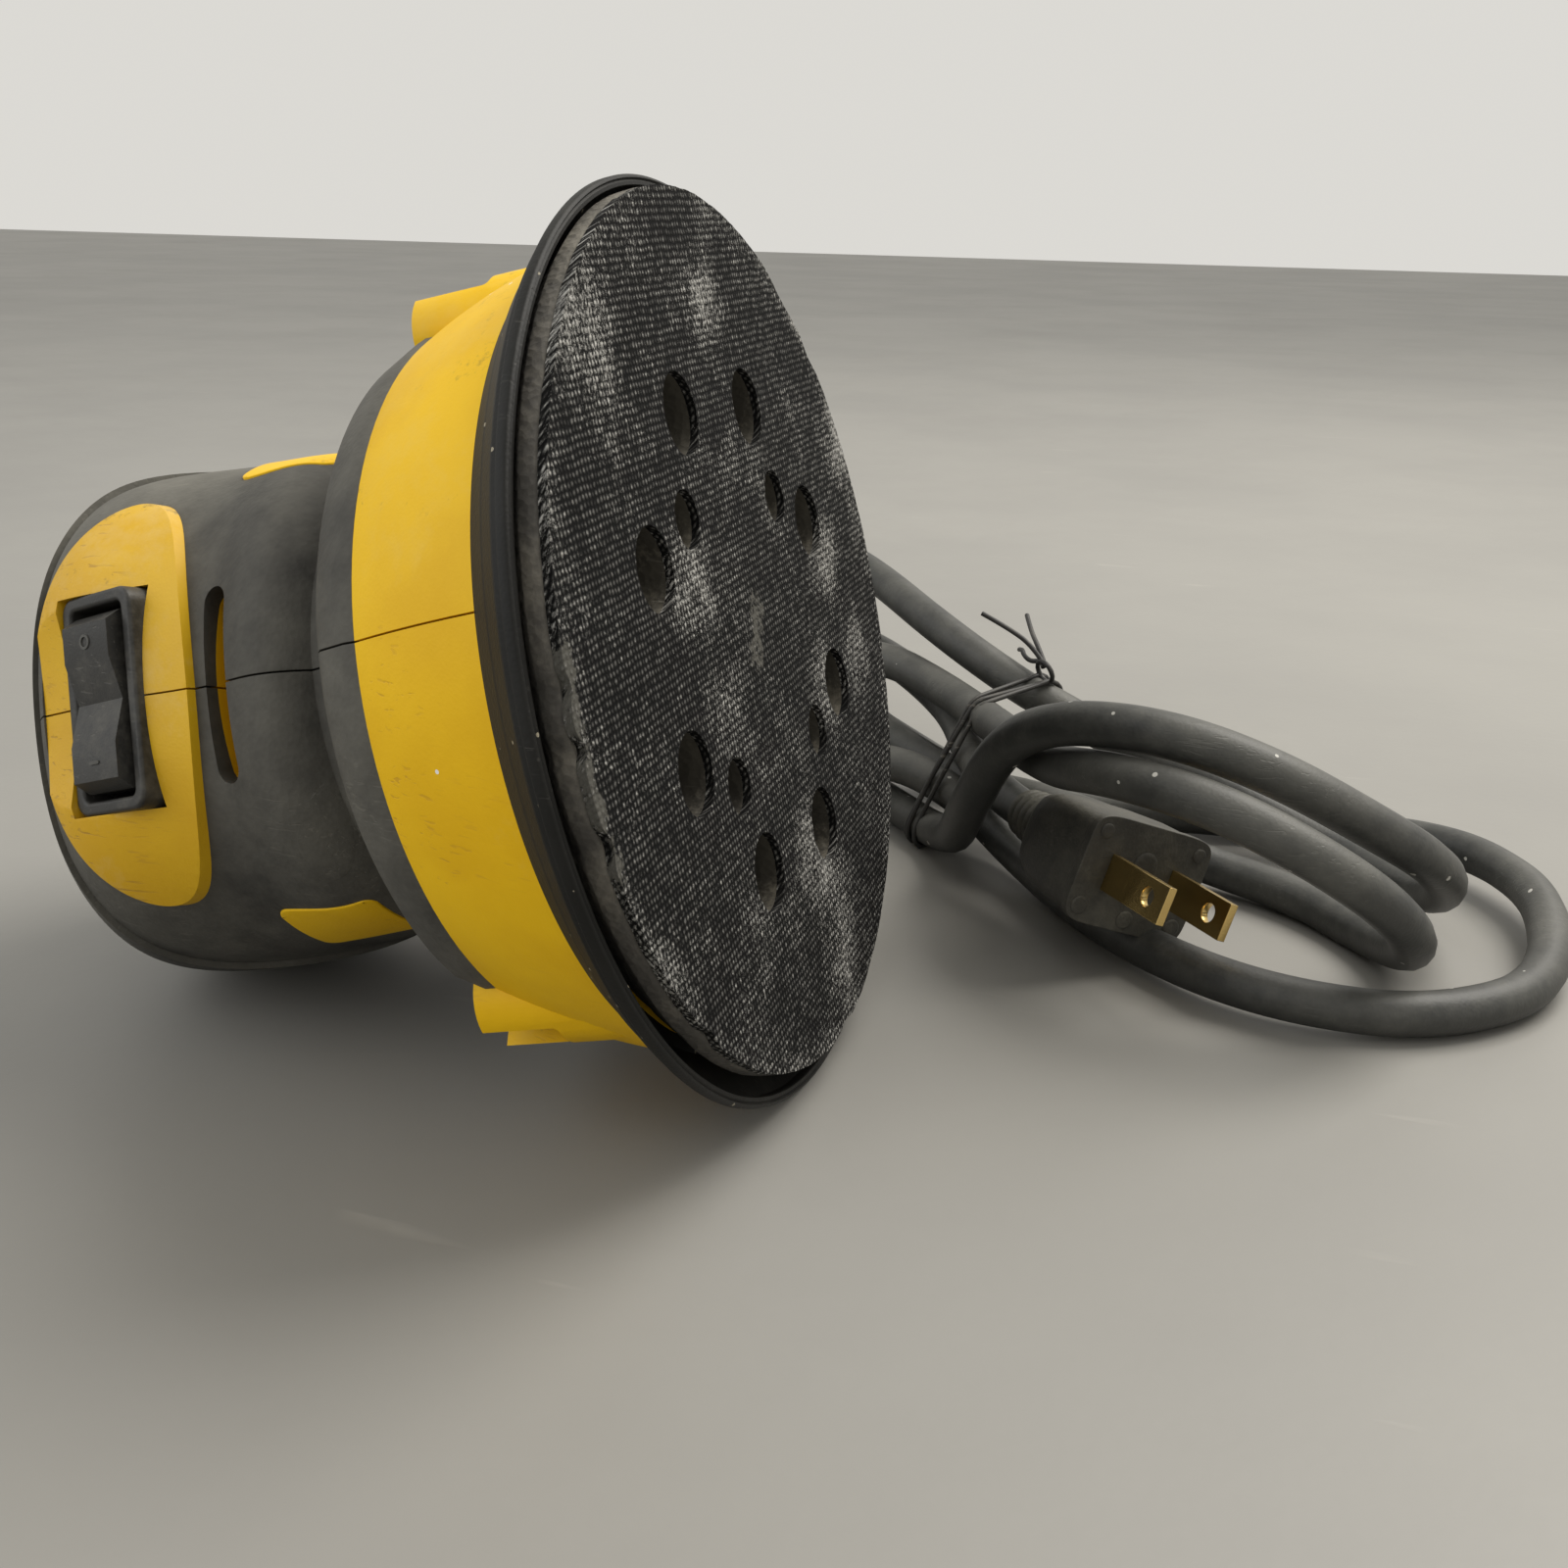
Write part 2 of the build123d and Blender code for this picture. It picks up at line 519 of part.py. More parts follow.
def head_loft(grow):
    """Neck, head and crown as one smooth body, grown outwards by a distance."""
    sections = [Pos(0, 0, NECK_Z) * Circle(NECK_RADIUS + grow)]
    for share in (0.5, 1):
        z = NECK_Z + share * (HEAD_Z - NECK_Z)
        swell = share * share * (3 - 2 * share)
        sections.append(head_section(z, NECK_RADIUS + swell * (HEAD_HALF_WIDTH - NECK_RADIUS),
                                     NECK_RADIUS + swell * (HEAD_FRONT - NECK_RADIUS),
                                     NECK_RADIUS + swell * (HEAD_REAR - NECK_RADIUS), grow))
    crown_rise = CROWN_Z - BROW_Z + grow
    for share in (0, 0.42, 0.75, 0.97):
        round_off = sqrt(1 - share * share)
        slope_off = (1 - share) ** 0.75
        sections.append(head_section(BROW_Z + share * crown_rise, HEAD_HALF_WIDTH * round_off - 0.5,
                                     BROW_FRONT * slope_off, (HEAD_REAR - 1) * round_off, grow * round_off))
    return loft(sections)


def shoulder(grow):
    """Rim and shoulder below the neck, grown outwards by a distance."""
    rim_top = RIM_TOP_RADIUS + grow
    rim_bottom = SKIRT_TOP_RADIUS + grow
    neck = NECK_RADIUS + grow
    top = RIM_TOP_Z + grow
    return turned([(0, SKIRT_TOP_Z), (rim_bottom, SKIRT_TOP_Z), (rim_bottom, SKIRT_TOP_Z + RIM_EDGE),
                   (rim_top + 0.6, top - 1.5), (rim_top - 1.2, top), (neck + 6, top + 1.2),
                   (neck + 2, top + 4), (neck, NECK_Z), (0, NECK_Z)])


def core():
    """Hard core of neck and head under the rubber, flat behind the bezel."""
    neck = NECK_RADIUS - GRIP_THICKNESS
    body = shoulder(-GRIP_THICKNESS)
    body += turned([(0, NECK_Z), (neck, NECK_Z), (CORE_HEAD_RADIUS, HEAD_Z - 10), (CORE_HEAD_RADIUS, CORE_SHOULDER_Z),
                    (CORE_TOP_RADIUS, CORE_BLOCK_TOP_Z - 10), (0, CORE_BLOCK_TOP_Z - 10)])
    body += disc(CORE_BLOCK_RADIUS, CORE_SHOULDER_Z, CORE_BLOCK_TOP_Z - CORE_SHOULDER_Z, (0, CORE_BLOCK_SHIFT))
    front = Pos(0, 0, OVERSIZE / 4 - BEZEL_WALL + BEZEL_SCOOP_DEPTH) * Box(OVERSIZE, 60, OVERSIZE / 2)
    return body - panel_plane().location * front


def screw_boss(side):
    """Upright boss on the skirt whose open pocket holds a baffle screw."""
    angle = -BOSS_SIDE_ANGLE if side > 0 else 180 + BOSS_SIDE_ANGLE
    return Rot(0, 0, angle) * Pos(BOSS_CIRCLE, 0, 0)


def skirt():
    """Yellow skirt with a slightly bulged wall and the spigot for the shroud."""
    spigot = SKIRT_BASE_RADIUS - SPIGOT_STEP
    spigot_z = SKIRT_BASE_Z - SPIGOT_DEPTH
    bore = spigot - SPIGOT_WALL
    middle_z = (SKIRT_BASE_Z + SKIRT_TOP_Z) / 2
    wall = ThreePointArc((SKIRT_BASE_RADIUS, 0, SKIRT_BASE_Z), (skirt_radius(middle_z) + SKIRT_BULGE, 0, middle_z),
                         (SKIRT_TOP_RADIUS, 0, SKIRT_TOP_Z))
    inside = Polyline((SKIRT_TOP_RADIUS, 0, SKIRT_TOP_Z), (CHAMBER_RADIUS, 0, SKIRT_TOP_Z),
                      (CHAMBER_RADIUS, 0, BAFFLE_Z + BAFFLE_THICKNESS), (bore, 0, BAFFLE_Z + BAFFLE_THICKNESS),
                      (bore, 0, spigot_z), (spigot, 0, spigot_z), (spigot, 0, SKIRT_BASE_Z),
                      (SKIRT_BASE_RADIUS, 0, SKIRT_BASE_Z))
    return revolve(make_face(wall + inside), Axis.Z)


def motor_cavity():
    """Space for bracket, motor and upper bearing inside the housing."""
    seat_low = ARMATURE_Z + 2
    seat_high = ARMATURE_TOP - 2 - FIELD_SEAT_WIDTH
    bay = MOTOR_BAY_RADIUS
    return turned([(0, SKIRT_TOP_Z - 1), (CHAMBER_RADIUS, SKIRT_TOP_Z - 1), (CHAMBER_RADIUS, BRACKET_Z),
                   (BRACKET_RADIUS, BRACKET_Z), (BRACKET_RADIUS, LOWER_BEARING_Z), (bay, LOWER_BEARING_Z),
                   (bay, seat_low), (FIELD_RADIUS, seat_low), (FIELD_RADIUS, seat_low + FIELD_SEAT_WIDTH),
                   (bay, seat_low + FIELD_SEAT_WIDTH), (bay, seat_high), (FIELD_RADIUS, seat_high),
                   (FIELD_RADIUS, seat_high + FIELD_SEAT_WIDTH), (bay, seat_high + FIELD_SEAT_WIDTH),
                   (bay, BRUSH_Z + 6), (UPPER_BEARING_RADIUS + 6, MOTOR_BAY_TOP),
                   (UPPER_BEARING_RADIUS - 2, MOTOR_BAY_TOP), (UPPER_BEARING_RADIUS - 2, UPPER_BEARING_Z),
                   (UPPER_BEARING_RADIUS, UPPER_BEARING_Z), (UPPER_BEARING_RADIUS, UPPER_BEARING_TOP),
                   (0, UPPER_BEARING_TOP)])


def panel_plane():
    """Plane of the switch: outward and slightly up, at the middle of the front."""
    face = HEAD_FRONT + BEZEL_PROUD - BEZEL_SCOOP_DEPTH
    return Plane(origin=(0, -face, HEAD_Z), x_dir=(1, 0, 0),
                 z_dir=(0, -cos(radians(PANEL_TILT)), sin(radians(PANEL_TILT))))


def bezel_prism(grow):
    """Oval column that outlines the bezel, running inwards from the front."""
    oval = Ellipse(BEZEL_HALF_WIDTH + grow, BEZEL_HALF_HEIGHT + grow)
    return panel_plane().location * Pos(0, 0, -12) * raised(oval, 40)


def switch_cutter(length, height, depth):
    """Rectangular hole along the switch axis."""
    return panel_plane().location * Pos(0, 0, -depth / 2 + 10) * Box(length, height, depth + 20)


def vent_cutter(depth):
    """Slot across the front of the head, under the bezel."""
    slot = SlotOverall(VENT_LENGTH, VENT_HEIGHT)
    place = Plane(origin=(0, -OVERSIZE / 4, VENT_Z), x_dir=(1, 0, 0), z_dir=(0, 1, 0))
    return place.location * raised(slot, OVERSIZE / 4 - depth)


def port_cutter(radius):
    """Round passage at the rear of the skirt."""
    place = Plane(origin=(0, CHAMBER_RADIUS - 6, PORT_Z), x_dir=(1, 0, 0), z_dir=(0, 1, 0))
    return place.location * raised(Circle(radius), OVERSIZE / 4)


def relief_cutter(radius):
    """Round hole for the cord at the rear of the head."""
    place = Plane(origin=(0, HEAD_REAR - 12, CORD_EXIT_Z), x_dir=(1, 0, 0), z_dir=(0, 1, 0))
    return place.location * raised(Circle(radius), OVERSIZE / 4)


def case_screw(y, z):
    """Screw through the right half into the left half."""
    place = Pos(0, y, z) * Rot(0, 90, 0)
    tip = CASE_SCREW_LENGTH / 2
    head = Pos(0, 0, -tip - CASE_SCREW_HEAD_HEIGHT) * raised(Circle(CASE_SCREW_HEAD_RADIUS), CASE_SCREW_HEAD_HEIGHT)
    shank = Pos(0, 0, -tip) * raised(Circle(CASE_SCREW_RADIUS), CASE_SCREW_LENGTH)
    return place * (head + shank)


def case_screw_cutter(y, z):
    """Stepped hole for one case screw, open to the right side."""
    place = Pos(0, y, z) * Rot(0, 90, 0)
    tip = CASE_SCREW_LENGTH / 2
    access = Pos(0, 0, -OVERSIZE / 4 - tip) * raised(Circle(CASE_SCREW_HEAD_RADIUS + FIT), OVERSIZE / 4)
    shank = Pos(0, 0, -tip) * raised(Circle(CASE_SCREW_RADIUS), CASE_SCREW_LENGTH)
    return place * (access + shank)


def capacitor_bay(gap):
    """Box behind the upper bearing that holds the suppression capacitor."""
    z = UPPER_BEARING_TOP + CAPACITOR_HEIGHT / 2 - 4
    return Pos(0, CAPACITOR_Y, z) * Box(CAPACITOR_WIDTH + 2 * gap, CAPACITOR_DEPTH + 2 * gap,
                                        CAPACITOR_HEIGHT + 2 * gap)


def housing():
    """Yellow housing before it is split: skirt, bosses, neck and head."""
    body = skirt() + core()
    for side in (1, -1):
        place = screw_boss(side)
        boss_base = BAFFLE_Z + BAFFLE_THICKNESS
        body += place * Pos(0, 0, boss_base) * raised(Circle(BOSS_RADIUS), BOSS_TOP_Z - boss_base)
        body -= place * Pos(0, 0, BOSS_SEAT_Z) * raised(Circle(BOSS_POCKET_RADIUS), OVERSIZE / 8)
        body -= place * Pos(0, 0, BAFFLE_Z) * raised(Circle(BAFFLE_SCREW_RADIUS), OVERSIZE / 8)
    body -= motor_cavity()
    body -= disc(CHAMBER_RADIUS, BAFFLE_Z, SKIRT_TOP_Z - BAFFLE_Z)
    body -= switch_cutter(FRAME_LENGTH, FRAME_HEIGHT, 30)
    body -= vent_cutter(MOTOR_BAY_RADIUS - 6)
    body -= port_cutter(PORT_RADIUS)
    body -= relief_cutter(RELIEF_ROOT_RADIUS)
    body -= capacitor_bay(BAY_GAP)
    for y, z in CASE_SCREWS:
        body -= case_screw_cutter(y, z)
    return body


def side_plate_prism(side, depth):
    """Rounded column that outlines a side plate, running outwards from a depth below the neck."""
    angle = -90 + side * SIDE_PLATE_ANGLE
    direction = (cos(radians(angle)), sin(radians(angle)), 0)
    start = NECK_RADIUS - depth
    origin = (start * direction[0], start * direction[1], SIDE_PLATE_Z)
    place = Plane(origin=origin, x_dir=(-direction[1], direction[0], 0), z_dir=direction)
    return place.location * raised(RectangleRounded(SIDE_PLATE_WIDTH, SIDE_PLATE_HEIGHT, 2), OVERSIZE / 4)


def side_plate(side):
    """Bare plate let into the rubber on one side of the neck."""
    return head_loft(SIDE_PLATE_PROUD) & side_plate_prism(side, SIDE_PLATE_THICKNESS)


def palm_space():
    """Everything above the sloping lower edge of the palm grip."""
    block = Pos(0, 0, OVERSIZE / 2) * Box(OVERSIZE, 2 * OVERSIZE, OVERSIZE)
    return Pos(0, -BROW_FRONT + 6, PALM_EDGE_Z) * Rot(-PALM_SLOPE, 0, 0) * block


def grips():
    """Rubber over shoulder, neck and head below the palm grip, before it is split."""
    body = shoulder(0) + (head_loft(0) - palm_space())
    body -= core()
    body -= motor_cavity()
    body -= bezel_prism(0)
    body -= vent_cutter(MOTOR_BAY_RADIUS - 6)
    body -= port_cutter(PORT_COLLAR_RADIUS + 0.5)
    body -= relief_cutter(RELIEF_ROOT_RADIUS)
    for side in (1, -1):
        body -= screw_boss(side) * Pos(0, 0, SKIRT_TOP_Z - 5) * raised(Circle(BOSS_RADIUS), OVERSIZE / 8)
        body -= side_plate_prism(side, SIDE_PLATE_THICKNESS)
    for y, z in CASE_SCREWS:
        body -= case_screw_cutter(y, z)
    return body


def palm_grip():
    """Thick rubber cap over the crown and the rear of the head, proud of the rubber below it."""
    body = head_loft(PALM_THICKNESS) & palm_space()
    body -= core()
    body -= bezel_prism(0)
    body -= relief_cutter(RELIEF_ROOT_RADIUS)
    for y, z in CASE_SCREWS:
        body -= case_screw_cutter(y, z)
    return body


def bezel():
    """Yellow oval around the switch, scooped where the finger rests, before it is split."""
    body = (head_loft(BEZEL_PROUD) & bezel_prism(0)) - core()
    scoop = panel_plane().location * Pos(0, 0, BEZEL_SCOOP_RADIUS) * Rot(90, 0, 0)
    body -= scoop * Cylinder(BEZEL_SCOOP_RADIUS, OVERSIZE)
    body -= switch_cutter(FRAME_LENGTH, FRAME_HEIGHT, 30)
    return body


def switch_frame():
    """Rubber frame around the rocker."""
    outer = RectangleRounded(FRAME_LENGTH, FRAME_HEIGHT, 2.5)
    inner = RectangleRounded(FRAME_LENGTH - 2 * FRAME_WALL, FRAME_HEIGHT - 2 * FRAME_WALL, 1)
    frame = Pos(0, 0, FRAME_PROUD - FRAME_DEPTH) * raised(outer - inner, FRAME_DEPTH)
    return panel_plane().location * frame


def rocker():
    """Rocker with a raised pad at each end, on two short pins."""
    length = FRAME_LENGTH - 2 * FRAME_WALL - 2 * ROCKER_END_GAP
    height = FRAME_HEIGHT - 2 * FRAME_WALL - 2 * ROCKER_GAP
    base = -ROCKER_THICKNESS
    half = length / 2
    profile = make_face(Polyline((-half, base), (half, base), (half, 0.2), (half - 1.5, ROCKER_RISE),
                                 (half - 6.5, ROCKER_RISE), (0, 0.9), (-half + 6.5, ROCKER_RISE),
                                 (-half + 1.5, ROCKER_RISE), (-half, 0.2), close=True))
    body = Rot(90, 0, 0) * Pos(0, 0, -height / 2) * raised(profile, height)
    pin = Pos(0, 0, -ROCKER_PIVOT_DEPTH) * Rot(90, 0, 0) * Cylinder(ROCKER_PIN_RADIUS, FRAME_HEIGHT - FRAME_WALL)
    stem_length = ROCKER_PIVOT_DEPTH + ROCKER_PIN_RADIUS - ROCKER_THICKNESS
    stem = Pos(0, 0, base - stem_length / 2) * Box(4, height - 2, stem_length)
    return panel_plane().location * (body + pin + stem)


def switch_body():
    """Switch case behind the frame, with a well and bearings for the rocker's pins."""
    top = FRAME_PROUD - FRAME_DEPTH
    case = Pos(0, 0, top - SWITCH_DEPTH / 2) * Box(FRAME_LENGTH, FRAME_HEIGHT, SWITCH_DEPTH)
    well = Pos(0, 0, top - SWITCH_WELL / 2) * Box(FRAME_LENGTH - 2 * FRAME_WALL, FRAME_HEIGHT - 2 * FRAME_WALL,
                                                  SWITCH_WELL)
    pin_length = FRAME_HEIGHT - FRAME_WALL + 2 * FIT
    pin = Pos(0, 0, -ROCKER_PIVOT_DEPTH) * Rot(90, 0, 0) * Cylinder(ROCKER_PIN_RADIUS + FIT, pin_length)
    body = case - well - pin
    for x in (-TERMINAL_SPACING, 0, TERMINAL_SPACING):
        body += Pos(x, 0, top - SWITCH_DEPTH - TERMINAL_SIZE[2] / 2) * Box(*TERMINAL_SIZE)
    return panel_plane().location * body


def fan_baffle():
    """Plate between pad and fan with a collar around its opening."""
    radius = SKIRT_BASE_RADIUS - SPIGOT_STEP - SPIGOT_WALL
    body = ring(radius, BAFFLE_BORE, BAFFLE_Z, BAFFLE_THICKNESS)
    body += ring(BAFFLE_BORE + 1.5, BAFFLE_BORE, BAFFLE_Z, BAFFLE_THICKNESS + 1)
    for side in (1, -1):
        body -= screw_boss(side) * Pos(0, 0, BAFFLE_Z) * raised(Circle(BAFFLE_SCREW_RADIUS), BAFFLE_THICKNESS)
    return body


def baffle_screws():
    """Two screws in the pockets of the skirt that hold the baffle."""
    head = disc(BAFFLE_SCREW_HEAD_RADIUS, BOSS_SEAT_Z, BAFFLE_SCREW_HEAD_HEIGHT)
    socket = Pos(0, 0, BOSS_SEAT_Z + 1) * raised(RegularPolygon(2.0, 6), BAFFLE_SCREW_HEAD_HEIGHT)
    shank = disc(BAFFLE_SCREW_RADIUS, BAFFLE_Z, BOSS_SEAT_Z - BAFFLE_Z)
    screw = head - socket + shank
    return Compound([screw_boss(side) * screw for side in (1, -1)])


def case_screws():
    """Screws that join the two halves of the housing."""
    return Compound([case_screw(y, z) for y, z in CASE_SCREWS])


def dust_port():
    """Outlet tube of the dust fan, with a collar against the skirt."""
    length = PORT_REACH - PORT_ROOT
    tube = raised(Circle(PORT_RADIUS) - Circle(PORT_BORE), length)
    collar = raised(Circle(PORT_COLLAR_RADIUS) - Circle(PORT_BORE), SKIRT_BASE_RADIUS + PORT_COLLAR_LENGTH - PORT_ROOT)
    rib = Pos(0, 0, length - 5) * raised(Circle(PORT_RADIUS + 0.8) - Circle(PORT_BORE), 2)
    place = Plane(origin=(0, PORT_ROOT, PORT_Z), x_dir=(1, 0, 0), z_dir=(0, 1, 0))
    body = place.location * (tube + collar + rib)
    return body - housing_envelope()


def housing_envelope():
    """Outside of the skirt and rim, which the dust port's collar is cut to fit."""
    skirt_space = turned([(0, SKIRT_BASE_Z - 2), (SKIRT_BASE_RADIUS, SKIRT_BASE_Z), (SKIRT_TOP_RADIUS + 0.6, SKIRT_TOP_Z),
                          (SKIRT_TOP_RADIUS + 0.6, RIM_TOP_Z + 1), (0, RIM_TOP_Z + 1)])
    passage = port_cutter(PORT_RADIUS)
    return skirt_space - passage


def capacitor():
    """Suppression capacitor in its bay."""
    return capacitor_bay(0)


def strain_relief():
    """Tapered rubber sleeve with grooves, rooted in the rear wall of the head."""
    root = HEAD_REAR - 8
    points = [(CORD_RADIUS, root), (RELIEF_ROOT_RADIUS, root), (RELIEF_ROOT_RADIUS, HEAD_REAR + 3)]
    step = (RELIEF_LENGTH - 5) / RELIEF_GROOVES
    for index in range(RELIEF_GROOVES):
        start = HEAD_REAR + 4 + index * step
        radius = RELIEF_ROOT_RADIUS - 0.6 - index * (RELIEF_ROOT_RADIUS - 0.6 - RELIEF_TIP_RADIUS) / RELIEF_GROOVES
        points += [(radius, start), (radius, start + 0.7 * step), (radius - 0.9, start + 0.7 * step),
                   (radius - 0.9, start + step)]
    end = HEAD_REAR + RELIEF_LENGTH
    points += [(RELIEF_TIP_RADIUS - 0.4, end), (CORD_RADIUS, end)]
    sleeve = turned(points)
    return Pos(0, 0, CORD_EXIT_Z) * Rot(-90, 0, 0) * sleeve


# ------------------------------------------------------------------ laying the tool down
def laid_down(tilt):
    """Frame of the upright tool once it lies on its side at a tilt."""
    slope = radians(tilt)
    roll = radians(ROLL)
    x_dir = (-cos(roll) * sin(slope), sin(roll), cos(roll) * cos(slope))
    return Plane(origin=(0, 0, 0), x_dir=x_dir, z_dir=(-cos(slope), 0, -sin(slope))).location


def resting_tilt(shroud, head):
    """Tilt at which the shroud rim and a piece of the head touch the table together."""
    low, high = 4.0, 24.0
    for _ in range(12):
        tilt = (low + high) / 2
        place = laid_down(tilt)
        if (place * head).bounding_box().min.Z > (place * shroud).bounding_box().min.Z:
            low = tilt
        else:
            high = tilt
    return (low + high) / 2


# ------------------------------------------------------------------ cord, in the resting pose
# Places are measured from the point on the table under the middle of the pad.
LEAD_ROUTE = [(-75.4, 103.0, 6.8), (-63.7, 118.7, 3.9), (-44.4, 126.8, 4.1), (-22.3, 122.8, 4.7),
              (-3.9, 104.6, 3.7), (13.6, 84.4, 4.6)]
LEAD_INSIDE = 25.0
LEAD_STRAIGHT = 12.0
BUNDLE_ROUTE = [(-50.0, 146.0, 26.0), (-25.0, 133.0, 28.0), (0.0, 113.0, 25.0), (20.0, 95.0, 21.0),
                (42.0, 79.0, 17.0)]
BUNDLE_RADIUS = 11.0
# Loops of the hank: centre, radius of the loop, radius of its section, roll about X and pitch about Y.
HANK_LOOPS = [((66.0, 71.0, 24.5), 38.0, 10.0, -19.0, 6.0),
              ((74.0, 77.0, 6.0), 43.5, 5.0, 0.8, 0.6),
              ((-62.0, 150.0, 22.0), 31.0, 11.0, 0.0, 8.0)]
TIE_PLACE = 3
TIE_SHARE = 0.25
PLUG_PLACE = (53.0, 44.6, 17.5)
PLUG_AIM = (0.625, -0.776, 0.03)
PLUG_ACROSS = (0.75, 0.56, -0.35)
PLUG_CLEARANCE = 0.6


def bend_radii(points):
    """As large an arc at each corner of a route as its two runs allow."""
    radii = []
    for before, corner, after in zip(points, points[1:], points[2:]):
        run_in = Vector(*corner) - Vector(*before)
        run_out = Vector(*after) - Vector(*corner)
        turn = radians(run_in.get_angle(run_out))
        radii.append(0.45 * min(run_in.length, run_out.length) / tan(turn / 2))
    return radii


def cord_tube(points):
    """Cord along a route of straight runs joined by tangent arcs."""
    radii = bend_radii(points)
    path = FilletPolyline(*points, radius=radii)
    section = Plane(origin=points[0], z_dir=Vector(*points[1]) - Vector(*points[0])) * Circle(CORD_RADIUS)
    tube = sweep(section, path=path)
    print("cord radii", [round(radius, 1) for radius in radii], "length", round(path.length, 1),
          "volume share", round(tube.volume / (pi * CORD_RADIUS ** 2 * path.length), 4))
    return tube


def hank_loop(centre, radius, section, roll, pitch):
    """One round loop of the hank."""
    return Pos(*centre) * Rot(roll, pitch, 0) * Torus(radius, section)


def cord_hank():
    """Outer shape of the tied hank: open loops at one end, the bundle and the folds behind it."""
    path = FilletPolyline(*BUNDLE_ROUTE, radius=bend_radii(BUNDLE_ROUTE))
    start, second = BUNDLE_ROUTE[0], BUNDLE_ROUTE[1]
    section = Plane(origin=start, z_dir=Vector(*second) - Vector(*start)) * Circle(BUNDLE_RADIUS)
    hank = sweep(section, path=path)
    for loop in HANK_LOOPS:
        hank += hank_loop(*loop)
    hank -= plug_room()
    print("hank solids", len(hank.solids()), "valid", hank.is_valid, "volume", round(hank.volume))
    return hank


def plug_room():
    """Space that the plug takes up among the loops."""
    block = Box(PLUG_WIDTH + 2 * PLUG_CLEARANCE, PLUG_HEIGHT + 2 * PLUG_CLEARANCE,
                PLUG_LENGTH + BLADE_LENGTH + 2 * PLUG_CLEARANCE)
    sleeve = Pos(0, 0, -PLUG_LENGTH - PLUG_NECK_LENGTH) * raised(Circle(PLUG_NECK_RADIUS), PLUG_NECK_LENGTH)
    return plug_frame() * (Pos(0, 0, (BLADE_LENGTH - PLUG_LENGTH) / 2) * block + sleeve)


def plug_frame():
    """Frame at the middle of the plug's face, pointing along its blades."""
    return Plane(origin=PLUG_PLACE, x_dir=PLUG_ACROSS, z_dir=PLUG_AIM).location


def plug_body():
    """Moulded plug that narrows to the cord."""
    front = RectangleRounded(PLUG_WIDTH, PLUG_HEIGHT, 4)
    back = Pos(0, 0, -PLUG_LENGTH) * RectangleRounded(PLUG_WIDTH * 0.8, PLUG_HEIGHT * 0.8, 4)
    body = loft([back, front])
    neck = Pos(0, 0, -PLUG_LENGTH - PLUG_NECK_LENGTH) * raised(Circle(PLUG_NECK_RADIUS), PLUG_NECK_LENGTH)
    return plug_frame() * (body + neck)


def plug_blades():
    """Two flat blades with a hole near the tip."""
    blades = []
    for side in (-1, 1):
        blade = Pos(side * BLADE_SPACING / 2, 0, BLADE_LENGTH / 2) * Box(BLADE_THICKNESS, BLADE_WIDTH, BLADE_LENGTH)
        hole = Pos(side * BLADE_SPACING / 2, 0, BLADE_LENGTH - 4.5) * Rot(0, 90, 0)
        blades.append(blade - hole * Cylinder(BLADE_HOLE_RADIUS, 4 * BLADE_THICKNESS))
    return plug_frame() * Compound(blades)


def cord_tie():
    """Thin tie around the bundle, near the open loop."""
    middle = Vector(*BUNDLE_ROUTE[TIE_PLACE])
    along = middle - Vector(*BUNDLE_ROUTE[TIE_PLACE - 1])
    band = raised(Circle(BUNDLE_RADIUS + TIE_THICKNESS) - Circle(BUNDLE_RADIUS), TIE_WIDTH)
    return Plane(origin=middle - along * TIE_SHARE, z_dir=along).location * band


def write(name, body):
    """One STEP file per node."""
    body.label = name
    export_step(body, os.path.join("parts", name + ".step"))


